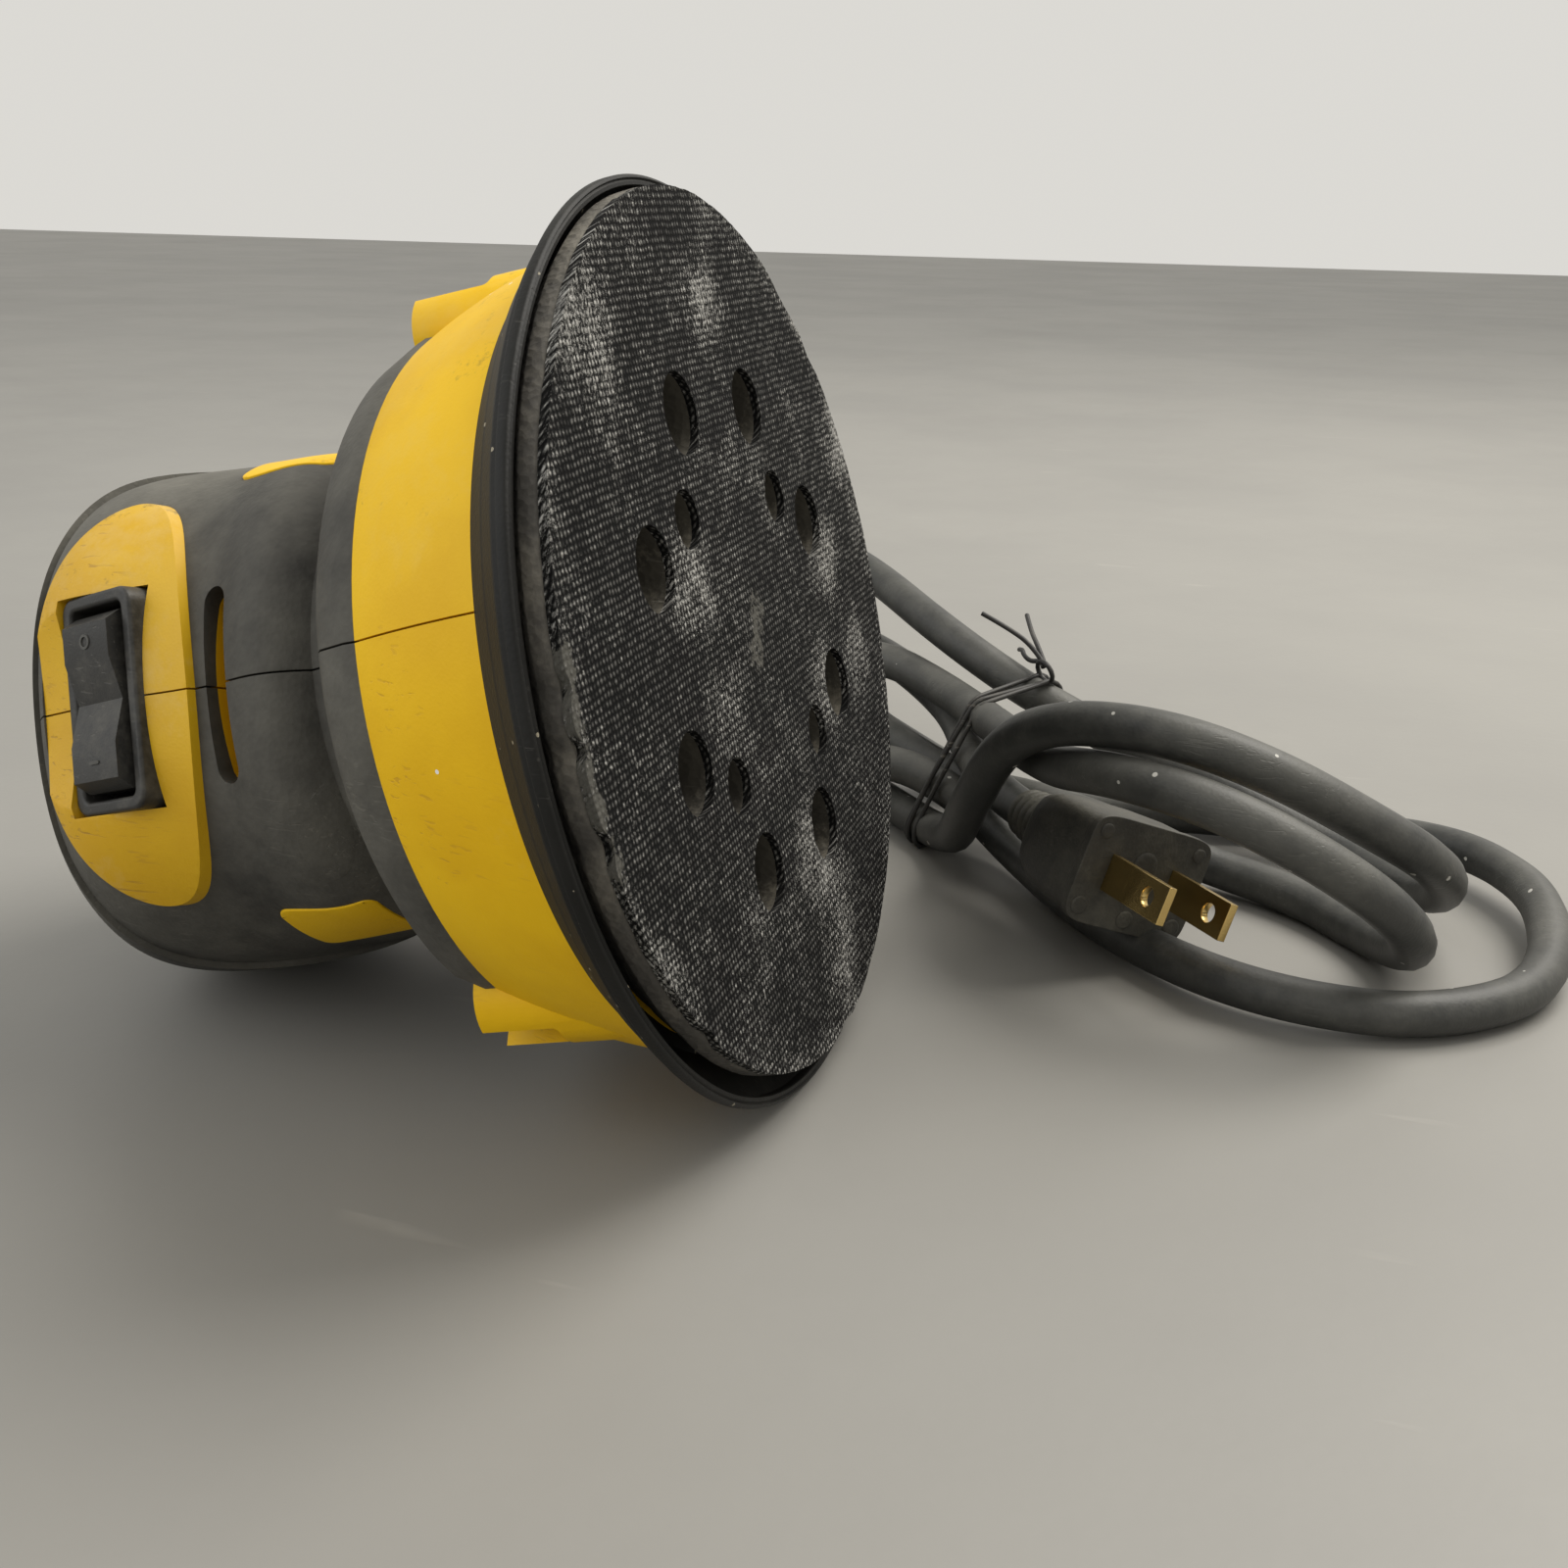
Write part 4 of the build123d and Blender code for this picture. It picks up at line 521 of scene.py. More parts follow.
FINISHES: dict[str, Finish | HookFinish] = {
    "yellow": Finish("worn_yellow_plastic", (0.82, 0.5, 0.006), (0.74, 0.43, 0.004),
                     dust=(0.72, 0.58, 0.25), roughness=0.48, dust_level=0.56, dust_strength=0.32,
                     scuff_level=0.65, scuff=(0.42, 0.2, 0.03), speck_size=260.0, speck_radius=0.09,
                     speck_share=0.05, grime=(0.16, 0.085, 0.02), grime_level=0.66, grime_strength=0.7,
                     grain=2200.0, gloss=0.22),
    "yellow_dirty": Finish("dirty_yellow_plastic", (0.68, 0.41, 0.008), (0.6, 0.34, 0.006),
                           dust=(0.66, 0.56, 0.36), roughness=0.45, dust_level=0.54, dust_strength=0.45,
                           scuff_level=0.64, scuff=(0.3, 0.16, 0.03), scuff_strength=0.5, speck_size=260.0,
                           speck_radius=0.1, speck_share=0.08, grime=(0.1, 0.06, 0.02), grime_level=0.64,
                           grime_strength=0.85, grain=2200.0),
    "rubber": Finish("dusty_black_rubber", (0.026, 0.025, 0.023), (0.044, 0.042, 0.037),
                     dust=(0.34, 0.325, 0.275), roughness=0.62, dust_size=17.0, dust_level=0.33,
                     dust_softness=0.6, dust_strength=0.56, scuff_level=0.64, scuff=(0.3, 0.28, 0.23),
                     scuff_strength=0.12, grain=1300.0, grain_depth=6e-05, gloss=0.22),
    "shroud": Finish("shroud_rubber", (0.009, 0.009, 0.008), (0.015, 0.0145, 0.013), dust=(0.2, 0.19, 0.16),
                     roughness=0.5, dust_size=26.0, dust_level=0.57, dust_softness=0.4, dust_strength=0.22,
                     scuff=(0.16, 0.15, 0.13), scuff_strength=0.15, speck=(0.3, 0.27, 0.2),
                     speck_size=520.0, speck_radius=0.14, speck_share=0.2, grain=1800.0, grain_depth=3e-05,
                     gloss=0.2),
    "cord": Finish("dusty_cord_sheath", (0.026, 0.027, 0.025), (0.045, 0.045, 0.041),
                   dust=(0.36, 0.35, 0.3), roughness=0.44, dust_size=38.0, dust_level=0.44,
                   dust_softness=0.6, dust_strength=0.36, scuff_level=0.62, scuff=(0.2, 0.195, 0.17),
                   scuff_strength=0.1, speck=(0.45, 0.44, 0.4), speck_size=520.0, speck_radius=0.24,
                   speck_share=0.025, grain=1700.0, grain_depth=3e-05, gloss=0.42),
    "plug": Finish("plug_vinyl", (0.026, 0.025, 0.021), (0.042, 0.04, 0.034), dust=(0.3, 0.285, 0.22),
                   roughness=0.5, dust_size=60.0, dust_level=0.46, dust_softness=0.5, grain=1900.0,
                   grain_depth=5e-05),
    "foam": Finish("worn_foam", (0.075, 0.07, 0.062), (0.045, 0.042, 0.037), dust=(0.34, 0.31, 0.25),
                   roughness=0.9, dust_size=90.0, dust_level=0.46, dust_strength=0.5, scuff_strength=0.1,
                   grain=900.0, grain_depth=0.0003),
    "hole_dust": Finish("dusty_hole_wall", (0.07, 0.064, 0.05), (0.03, 0.027, 0.022),
                        dust=(0.4, 0.36, 0.28), roughness=0.9, dust_size=140.0, dust_level=0.56,
                        dust_strength=0.6, grain=900.0, grain_depth=0.0002),
    "hook": HookFinish(),
    "black_plastic": Finish("black_plastic", (0.024, 0.023, 0.022), (0.033, 0.032, 0.03),
                            dust=(0.3, 0.28, 0.23), dust_level=0.56, dust_strength=0.3, grain=2000.0),
    "switch_rubber": Finish("switch_rubber", (0.02, 0.0195, 0.018), (0.03, 0.029, 0.026),
                            dust=(0.3, 0.28, 0.23), roughness=0.4, dust_size=60.0, dust_level=0.5,
                            scuff_strength=0.12, grain=2400.0),
    "aluminium": Finish("cast_aluminium", (0.55, 0.55, 0.55), (0.45, 0.45, 0.44), dust_level=0.55,
                        grain=1200.0, grain_depth=6e-05, metallic=1.0),
    "steel": Finish("machined_steel", (0.56, 0.56, 0.57), (0.48, 0.48, 0.48), roughness=0.28,
                    dust_level=0.6, dust_strength=0.35, grain_depth=1e-05, metallic=1.0),
    "iron": Finish("laminated_iron", (0.2, 0.2, 0.21), (0.13, 0.12, 0.12), roughness=0.5, dust_level=0.6,
                   dust_strength=0.2, grain_depth=4e-05, metallic=1.0),
    "copper": Finish("wound_copper", (0.72, 0.36, 0.2), (0.52, 0.24, 0.12), roughness=0.34, dust_level=0.62,
                     dust_strength=0.2, grain=1900.0, grain_depth=8e-05, metallic=1.0),
    "brass": Finish("worn_brass", (0.72, 0.52, 0.2), (0.55, 0.4, 0.15), dust=(0.2, 0.16, 0.08),
                    roughness=0.22, dust_level=0.6, dust_strength=0.3, scuff=(0.85, 0.7, 0.4),
                    grain_depth=1e-05, metallic=1.0),
    "carbon": Finish("brush_carbon", (0.02, 0.02, 0.02), (0.035, 0.035, 0.035), roughness=0.7,
                     dust_strength=0.1, grain=1500.0, grain_depth=6e-05),
    "table": Finish("pale_table", (0.27, 0.262, 0.24), (0.245, 0.238, 0.22), dust=(0.3, 0.29, 0.27),
                    tone_size=5.0, dust_size=9.0, dust_strength=0.25, scuff_level=0.7, scuff_size=14.0,
                    scuff=(0.42, 0.4, 0.36), scuff_strength=0.25, grain=500.0),
    "mark_raised": Finish("worn_mark", (0.05, 0.049, 0.045), (0.09, 0.088, 0.08), roughness=0.6,
                          dust_strength=0.3, grain=2000.0),
    "hook_plain": Finish("plain_hook_facing", (0.02, 0.02, 0.019), (0.05, 0.049, 0.046), roughness=0.85,
                         grain=1100.0, grain_depth=0.0002),
}


class Finishes:
    """Materials by name, each built once when first asked for."""

    def __init__(self) -> None:
        """Start with the shared groups and no materials."""
        self.wear = Wear()
        self.made: dict[str, bpy.types.Material] = {}

    def get(self, name: str) -> bpy.types.Material:
        """Give the material of a finish.

        Args:
            name: Key in FINISHES.

        Returns:
            The material.
        """
        if name not in self.made:
            self.made[name] = FINISHES[name].material(self.wear)
        return self.made[name]

    def dress(self, thing: Thing, name: str) -> None:
        """Give an object one finish all over."""
        thing.data.materials.clear()
        thing.data.materials.append(self.get(name))


# ---------------------------------------------------------------- frames and the bench
def turned(across: Vector, out: Vector) -> Matrix:
    """Turn that lays X along the first direction and Z along the second."""
    return Matrix((across, out.cross(across), out)).transposed().to_4x4()


def squared(way: Vector, aim: Vector) -> Vector:
    """Direction nearest the first one that is square to the second."""
    return (way - aim * aim.dot(way)).normalized()


@dataclass
class Frames:
    """Where the tool, its pad and the table's foot point lie in the row's frame."""

    tool: Matrix
    pad: Matrix
    foot: Vector

    @classmethod
    def from_record(cls, record: dict[str, Any]) -> "Frames":
        """Work the frames out of the record's joint and mounts.

        Args:
            record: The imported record.

        Returns:
            The frames.
        """
        joints = {joint["name"]: joint for joint in record["behaviour"]["joints"]}
        mounts = {mount["name"]: mount for mount in record["mounts"]}
        spin = joints["rotor_spin"]
        up = Vector(spin["axis"]).normalized()
        back = Vector(mounts["dust_outlet"]["axis"]).normalized()
        left = back.cross(up).normalized()
        face = Vector(mounts["pad_face"]["pos_m"])
        on_axis = Vector(spin["pos_m"])
        origin = on_axis + up * up.dot(face - on_axis)
        turn = turned(left, up)
        return cls(Matrix.Translation(origin) @ turn, Matrix.Translation(face) @ turn,
                   Vector((face.x, face.y, 0.0)))


@dataclass(frozen=True)
class Section:
    """One closed section across Z: a circle, an oval or a rounded rectangle."""

    radius: float
    height: float
    across: float = 0.0
    power: float = 2.0

    def point(self, turn: float) -> Point:
        """Point of the section at a turn in radians.

        Args:
            turn: Turn round Z in radians.

        Returns:
            The point.
        """
        wide, deep = self.radius, self.across or self.radius
        share = 2.0 / self.power
        x = wide * math.copysign(abs(math.cos(turn)) ** share, math.cos(turn))
        y = deep * math.copysign(abs(math.sin(turn)) ** share, math.sin(turn))
        return x, y, self.height

    def turn_at(self, place: Vector) -> float:
        """Turn in radians of a point that lies on the section.

        Args:
            place: Point on the section.

        Returns:
            Its turn in radians.
        """
        wide, deep = self.radius, self.across or self.radius
        x, y = place.x / wide, place.y / deep
        share = self.power / 2.0
        return math.atan2(math.copysign(abs(y) ** share, y), math.copysign(abs(x) ** share, x))


class Bench:
    """Modelling moves that every sub-assembly uses."""

    @staticmethod
    def clear() -> None:
        """Leave edit mode and select nothing."""
        if bpy.context.object and bpy.context.object.mode != "OBJECT":
            bpy.ops.object.mode_set(mode="OBJECT")
        bpy.ops.object.select_all(action="DESELECT")

    @staticmethod
    def pick(thing: Thing) -> None:
        """Make an object the only selected one, and active.

        Args:
            thing: Object to pick.
        """
        Bench.clear()
        thing.select_set(True)
        bpy.context.view_layer.objects.active = thing

    @staticmethod
    def named(name: str) -> Thing:
        """Name the object just added, and give it back.

        Args:
            name: Name for the object and its data.

        Returns:
            The object.
        """
        thing = bpy.context.object
        thing.name = name
        thing.data.name = name
        return thing

    @staticmethod
    def settle(thing: Thing, place: Matrix | None = None) -> Thing:
        """Put an object's own transform and a further place into its mesh.

        Args:
            thing: Object to settle.
            place: Frame to move the mesh into.

        Returns:
            The same object, at the origin.
        """
        bpy.context.view_layer.update()
        thing.data.transform((place or Matrix.Identity(4)) @ thing.matrix_world)
        thing.matrix_world = Matrix.Identity(4)
        return thing

    @staticmethod
    def finish_modifiers(thing: Thing) -> None:
        """Apply all modifiers of an object.

        Args:
            thing: Object to finish.
        """
        Bench.pick(thing)
        for modifier in list(thing.modifiers):
            bpy.ops.object.modifier_apply(modifier=modifier.name)

    @staticmethod
    def smooth(thing: Thing, angle: float) -> None:
        """Shade smooth except across edges sharper than an angle in degrees.

        Args:
            thing: Object to shade.
            angle: Smallest angle of an edge that stays sharp, in degrees.
        """
        Bench.pick(thing)
        bpy.ops.object.shade_smooth_by_angle(angle=math.radians(angle))
        modifier = thing.modifiers.new("flat_faces", "WEIGHTED_NORMAL")
        modifier.keep_sharp = True
        modifier.weight = 80
        Bench.finish_modifiers(thing)

    @staticmethod
    @contextmanager
    def editing(thing: Thing) -> Iterator[None]:
        """Edit mode on an object, with all of its mesh selected.

        Args:
            thing: Object to edit.

        Returns:
            A context that ends with the object out of edit mode.
        """
        Bench.pick(thing)
        bpy.ops.object.mode_set(mode="EDIT")
        bpy.ops.mesh.select_all(action="SELECT")
        yield
        bpy.ops.object.mode_set(mode="OBJECT")

    @staticmethod
    def outward(thing: Thing) -> None:
        """Merge doubles and point all faces outwards.

        Args:
            thing: Object to mend.
        """
        with Bench.editing(thing):
            bpy.ops.mesh.remove_doubles(threshold=DOUBLES)
            bpy.ops.mesh.normals_make_consistent(inside=False)

    @staticmethod
    def flatten(thing: Thing) -> None:
        """Join neighbouring faces that lie in one plane."""
        with Bench.editing(thing):
            bpy.ops.mesh.dissolve_limited(angle_limit=FLAT)

    @staticmethod
    def bevel(thing: Thing, width: float, segments: int, angle: float) -> None:
        """Round an object's sharp edges with an applied bevel.

        Args:
            thing: Object to round.
            width: Width of the rounding.
            segments: Steps across it.
            angle: Smallest angle of an edge to round, in degrees.
        """
        modifier = thing.modifiers.new("edges", "BEVEL")
        modifier.width = width
        modifier.segments = segments
        modifier.limit_method = "ANGLE"
        modifier.angle_limit = math.radians(angle)
        modifier.harden_normals = False
        Bench.finish_modifiers(thing)

    @staticmethod
    def cut(thing: Thing, cutters: Sequence[Thing], kind: str = "DIFFERENCE") -> None:
        """Cut an object with other bodies and remove them.

        Args:
            thing: Object to cut.
            cutters: Bodies to cut with.
            kind: "DIFFERENCE" takes them away, "INTERSECT" keeps what lies in them.
        """
        for cutter in cutters:
            modifier = thing.modifiers.new("cut", "BOOLEAN")
            modifier.operation = kind
            modifier.solver = "EXACT"
            modifier.object = cutter
            Bench.finish_modifiers(thing)
            bpy.data.objects.remove(cutter)

    @staticmethod
    def join(name: str, things: Sequence[Thing]) -> Thing:
        """Join objects into one.

        Args:
            name: Name of the joined object.
            things: Objects to join.

        Returns:
            The joined object.
        """
        Bench.clear()
        for thing in things:
            thing.select_set(True)
        bpy.context.view_layer.objects.active = things[0]
        bpy.ops.object.join()
        return Bench.named(name)

    @staticmethod
    def stacked(name: str, sections: Sequence[Section], steps: int, ends: str = "caps") -> Thing:
        """Raise a body through oval or rounded sections, by extruding a circle's edges.

        Args:
            name: Name of the piece.
            sections: Sections in order along Z.
            steps: Vertices around.
            ends: "caps" closes both ends, "ring" joins the last section to the first.

        Returns:
            The body, closed, with its faces outwards.
        """
        Bench.clear()
        bpy.ops.mesh.primitive_circle_add(vertices=steps, radius=1.0, location=(0, 0, 0))
        thing = Bench.named(name)
        bpy.ops.object.mode_set(mode="EDIT")
        bpy.ops.mesh.select_all(action="SELECT")
        before = Section(1.0, 0.0)
        for index, section in enumerate(sections):
            if index:
                bpy.ops.mesh.extrude_edges_move(TRANSFORM_OT_translate={"value": (0, 0, 0.001)})
            shape = bmesh.from_edit_mesh(thing.data)
            for vertex in (v for v in shape.verts if v.select):
                vertex.co = section.point(before.turn_at(vertex.co))
            bmesh.update_edit_mesh(thing.data)
            before = section
        bpy.ops.object.mode_set(mode="OBJECT")
        count = len(thing.data.vertices)
        for end in (("first", "last") if ends == "caps" else ("both",)):
            for vertex in thing.data.vertices:
                first, last = vertex.index < steps, vertex.index >= count - steps
                vertex.select = {"first": first, "last": last, "both": first or last}[end]
            for part in (*thing.data.edges, *thing.data.polygons):
                part.select = False
            bpy.ops.object.mode_set(mode="EDIT")
            bpy.ops.mesh.select_mode(type="VERT")
            bpy.ops.mesh.select_mode(type="EDGE")
            if ends == "caps":
                bpy.ops.mesh.edge_face_add()
            else:
                bpy.ops.mesh.bridge_edge_loops()
            bpy.ops.mesh.select_mode(type="VERT")
            bpy.ops.object.mode_set(mode="OBJECT")
        Bench.outward(thing)
        return thing

    @staticmethod
    def post(name: str, radius: float, height: float, place: Matrix, sides: int) -> Thing:
        """Upright cylinder standing on its place, for cutters and pins.

        Args:
            name: Name of the cylinder.
            radius: Its radius.
            height: Its height.
            place: Frame of its lower end.
            sides: Vertices around.

        Returns:
            The cylinder.
        """
        Bench.clear()
        bpy.ops.mesh.primitive_cylinder_add(vertices=sides, radius=radius, depth=height,
                                            location=(0, 0, height / 2))
        return Bench.settle(Bench.named(name), place)

    @staticmethod
    def loose_copy(node: Thing, name: str) -> Thing:
        """Copy a CAD node's mesh and merge its loose triangles.

        Args:
            node: CAD node to copy.
            name: Name of the copy.

        Returns:
            The merged copy.
        """
        mesh = node.data.copy()
        mesh.materials.clear()
        mesh.name = name
        thing = Bench.linked(name, mesh)
        with Bench.editing(thing):
            bpy.ops.mesh.remove_doubles(threshold=WELD)
        return thing

    @staticmethod
    def linked(name: str, data: bpy.types.ID) -> Thing:
        """Make an object from its data and put it in the scene.

        Args:
            name: Name of the object.
            data: Mesh, curve, camera or light.

        Returns:
            The object.
        """
        thing = bpy.data.objects.new(name, data)
        bpy.context.scene.collection.objects.link(thing)
        return thing

    @staticmethod
    def strand(name: str, points: Sequence[Vector], radius: float, sides: int, steps: int = 12,
               closed: bool = False) -> Thing:
        """Lay a round strand along points.

        Args:
            name: Name of the strand.
            points: Its control points.
            radius: Its radius.
            sides: Bevel resolution of its section.
            steps: Steps from point to point.
            closed: Join the last point to the first, with straight runs.

        Returns:
            The strand, as a curve.
        """
        data = bpy.data.curves.new(name, "CURVE")
        data.dimensions = "3D"
        data.bevel_depth = radius
        data.bevel_resolution = sides
        data.resolution_u = steps
        data.use_fill_caps = True
        spline = data.splines.new("POLY" if closed else "NURBS")
        spline.points.add(len(points) - 1)
        for control, place in zip(spline.points, points):
            control.co = (*place, 1.0)
        spline.use_cyclic_u = closed
        if not closed:
            spline.order_u = 3
            spline.use_endpoint_u = True
        return Bench.linked(name, data)


# ---------------------------------------------------------------- what every sub-assembly shares
@dataclass
class Assembly:
    """Base of the sub-assemblies: the frames, the CAD nodes and the finishes."""

    frames: Frames
    nodes: dict[str, Thing]
    finishes: Finishes

    def register(self, thing: Thing, body: Body, slot: Slot, *nodes: str) -> Thing:
        """Fix a finished piece to its body and hide the CAD nodes it stands for.

        Args:
            thing: Finished piece.
            body: Body that it rides on.
            slot: Material slot of the record; not used.
            nodes: CAD nodes that it replaces.

        Returns:
            The same piece.
        """
        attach(thing, body.value)
        if nodes:
            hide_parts(*nodes)
        LOG.info("piece %s, %d faces", thing.name, len(getattr(thing.data, "polygons", ())))
        return thing

    def skin(self, node: str, finish: str, body: Body, slot: Slot, edge: float, angle: float,
             shape: Callable[[Vector], Vector] | None = None, patches: Sequence[Thing] = (),
             cutters: Sequence[Thing] = ()) -> Thing:
        """Dress a CAD node with a copy that has rounded edges and smooth shading.

        Args:
            node: CAD node.
            finish: Name of the finish.
            body: Body that it rides on.
            slot: Material slot.
            edge: Width of the rounded edges.
            angle: Smallest angle of an edge that stays sharp, in degrees.
            shape: Moves each point, given and returned in the tool's frame.
            patches: Bodies to join to the copy.
            cutters: Bodies to take away from the copy.

        Returns:
            The dressed copy.
        """
        thing = Bench.loose_copy(self.nodes[node], node + "_skin")
        if shape:
            inverse = self.frames.tool.inverted()
            for vertex in thing.data.vertices:
                vertex.co = self.frames.tool @ shape(inverse @ vertex.co)
        if patches:
            thing = Bench.join(node + "_skin", [thing, *patches])
        if cutters:
            Bench.cut(thing, cutters)
            Bench.outward(thing)
        Bench.flatten(thing)
        Bench.bevel(thing, edge, 2, angle)
        Bench.smooth(thing, angle)
        self.finishes.dress(thing, finish)
        return self.register(thing, body, slot, node)


# ---------------------------------------------------------------- camera, light and table
@dataclass
class Studio:
    """Camera, soft lights and the table top."""

    finishes: Finishes
    eye: Point = (0.1248, -0.2341, 0.1263)
    ahead: Point = (-0.2722, 0.9031, -0.3322)
    right: Point = (0.9556, 0.2943, 0.0170)
    lens_mm: float = 39.26
    sensor_mm: float = 36.0
    light_aim: Point = (0.03, 0.03, 0.03)
    table_side: float = 6.0
    key_place: Point = (0.5, 0.45, 0.9)
    key_power: float = 13.5
    key_size: float = 0.75
    fill_place: Point = (-0.75, -0.55, 0.6)
    fill_power: float = 5.0
    fill_size: float = 1.1
    sky: Colour = (0.95, 0.93, 0.88)
    sky_strength: float = 0.75

    def build(self) -> None:
        """Set up the camera, the lights and the table."""
        self.camera()
        self.lights()
        self.table()

    def camera(self) -> None:
        """Place the camera that looks down at the pad and the cord."""
        ahead = Vector(self.ahead).normalized()
        right = squared(Vector(self.right), ahead)
        data = bpy.data.cameras.new("camera")
        data.lens = self.lens_mm
        data.sensor_width = self.sensor_mm
        data.clip_start = 0.01
        thing = Bench.linked("camera", data)
        thing.matrix_world = Matrix.Translation(self.eye) @ turned(right, -ahead)
        bpy.context.scene.camera = thing

    def lights(self) -> None:
        """Hang a key light behind on the right, a weak fill at the front left and a pale sky."""
        aim = Vector(self.light_aim)
        for name, place, power, size, colour in (
                ("key_light", self.key_place, self.key_power, self.key_size, (1.0, 0.965, 0.91)),
                ("fill_light", self.fill_place, self.fill_power, self.fill_size, (0.93, 0.96, 1.0))):
            data = bpy.data.lights.new(name, "AREA")
            data.energy = power
            data.size = size
            data.color = colour
            thing = Bench.linked(name, data)
            thing.location = place
            thing.rotation_euler = (aim - Vector(place)).to_track_quat("-Z", "Y").to_euler()
        bpy.context.scene.view_settings.view_transform = "Standard"
        world = bpy.context.scene.world or bpy.data.worlds.new("sky")
        bpy.context.scene.world = world
        world.use_nodes = True
        shader = world.node_tree.nodes["Background"]
        shader.inputs["Color"].default_value = (*self.sky, 1.0)
        shader.inputs["Strength"].default_value = self.sky_strength

    def table(self) -> None:
        """Lay the plain pale table top."""
        Bench.clear()
        bpy.ops.mesh.primitive_plane_add(size=self.table_side, location=(0, 0, 0))
        top = Bench.named("table_top")
        self.finishes.dress(top, "table")


# ---------------------------------------------------------------- mains lead
# Control points of the lead from the foot point, in millimetres.
LEAD_POINTS: tuple[Point, ...] = (
    (-81.2, 50.3, 27.0), (-79.3, 73.8, 19.2), (-78.4, 86.0, 15.2), (-75.4, 103.0, 6.8),
    (-63.7, 118.7, 3.9), (-44.4, 126.8, 4.1), (-22.3, 122.8, 4.7), (-3.9, 104.6, 3.7),
    (13.6, 84.4, 4.6), (19.1, 64.3, 17.8), (26.7, 53.0, 35.3), (35.8, 44.2, 43.2), (47.2, 37.6, 46.3),
    (59.8, 34.4, 45.9), (72.8, 34.7, 41.9), (84.6, 39.6, 35.1), (101.3, 53.2, 22.5),
    (103.2, 77.0, 8.0), (92.4, 98.0, 4.1), (77.5, 110.0, 6.9), (60.9, 113.4, 12.9),
    (43.6, 107.5, 20.5), (30.4, 107.7, 26.5), (19.4, 111.7, 30.3), (1.3, 123.0, 37.2),
    (-18.5, 145.7, 42.4), (-32.5, 158.4, 45.0), (-50.6, 179.5, 36.9), (-76.6, 174.6, 23.2),
    (-85.5, 146.9, 14.6), (-65.3, 121.2, 17.0), (-30.3, 127.6, 27.8), (-11.0, 124.6, 29.8),
    (4.0, 114.0, 27.1), (20.0, 94.0, 25.8), (35.6, 49.9, 33.9), (48.6, 33.7, 39.3), (64.5, 26.0, 38.8),
    (80.5, 25.3, 32.3), (93.3, 32.7, 22.0), (98.1, 46.8, 10.3), (93.4, 64.7, 3.3), (79.3, 80.8, 3.8),
    (60.0, 89.2, 4.9), (42.8, 89.0, 10.6), (28.7, 92.6, 12.5), (13.6, 101.2, 10.6),
    (-7.9, 116.2, 14.6), (-27.8, 144.9, 16.1), (-50.2, 162.2, 9.3), (-77.1, 153.4, 6.6),
    (-85.5, 126.4, 10.1), (-66.4, 103.3, 14.7), (-32.2, 106.6, 8.0), (-5.6, 105.4, 13.8),
    (13.7, 91.8, 11.8), (26.4, 81.3, 5.1), (41.6, 61.8, 3.5), (59.8, 41.3, 4.9), (79.0, 32.4, 5.0),
    (100.9, 35.9, 3.9), (119.7, 54.2, 3.8), (122.3, 85.7, 6.4), (113.2, 104.7, 7.0),
    (100.1, 115.1, 5.8), (86.7, 119.0, 3.7), (69.9, 118.4, 4.1), (44.1, 115.7, 4.0),
    (23.9, 114.9, 3.9), (10.0, 119.6, 4.7), (-12.6, 131.2, 11.2), (-31.1, 158.6, 9.0),
    (-47.9, 193.3, 3.1), (-80.7, 196.0, 10.1), (-96.0, 170.3, 22.9), (-77.5, 143.3, 32.2),
    (-30.0, 145.7, 29.3), (-12.9, 139.2, 26.0), (5.8, 121.6, 19.8), (15.3, 93.0, 18.5),
    (24.2, 80.4, 16.1), (31.7, 71.1, 16.5),
)


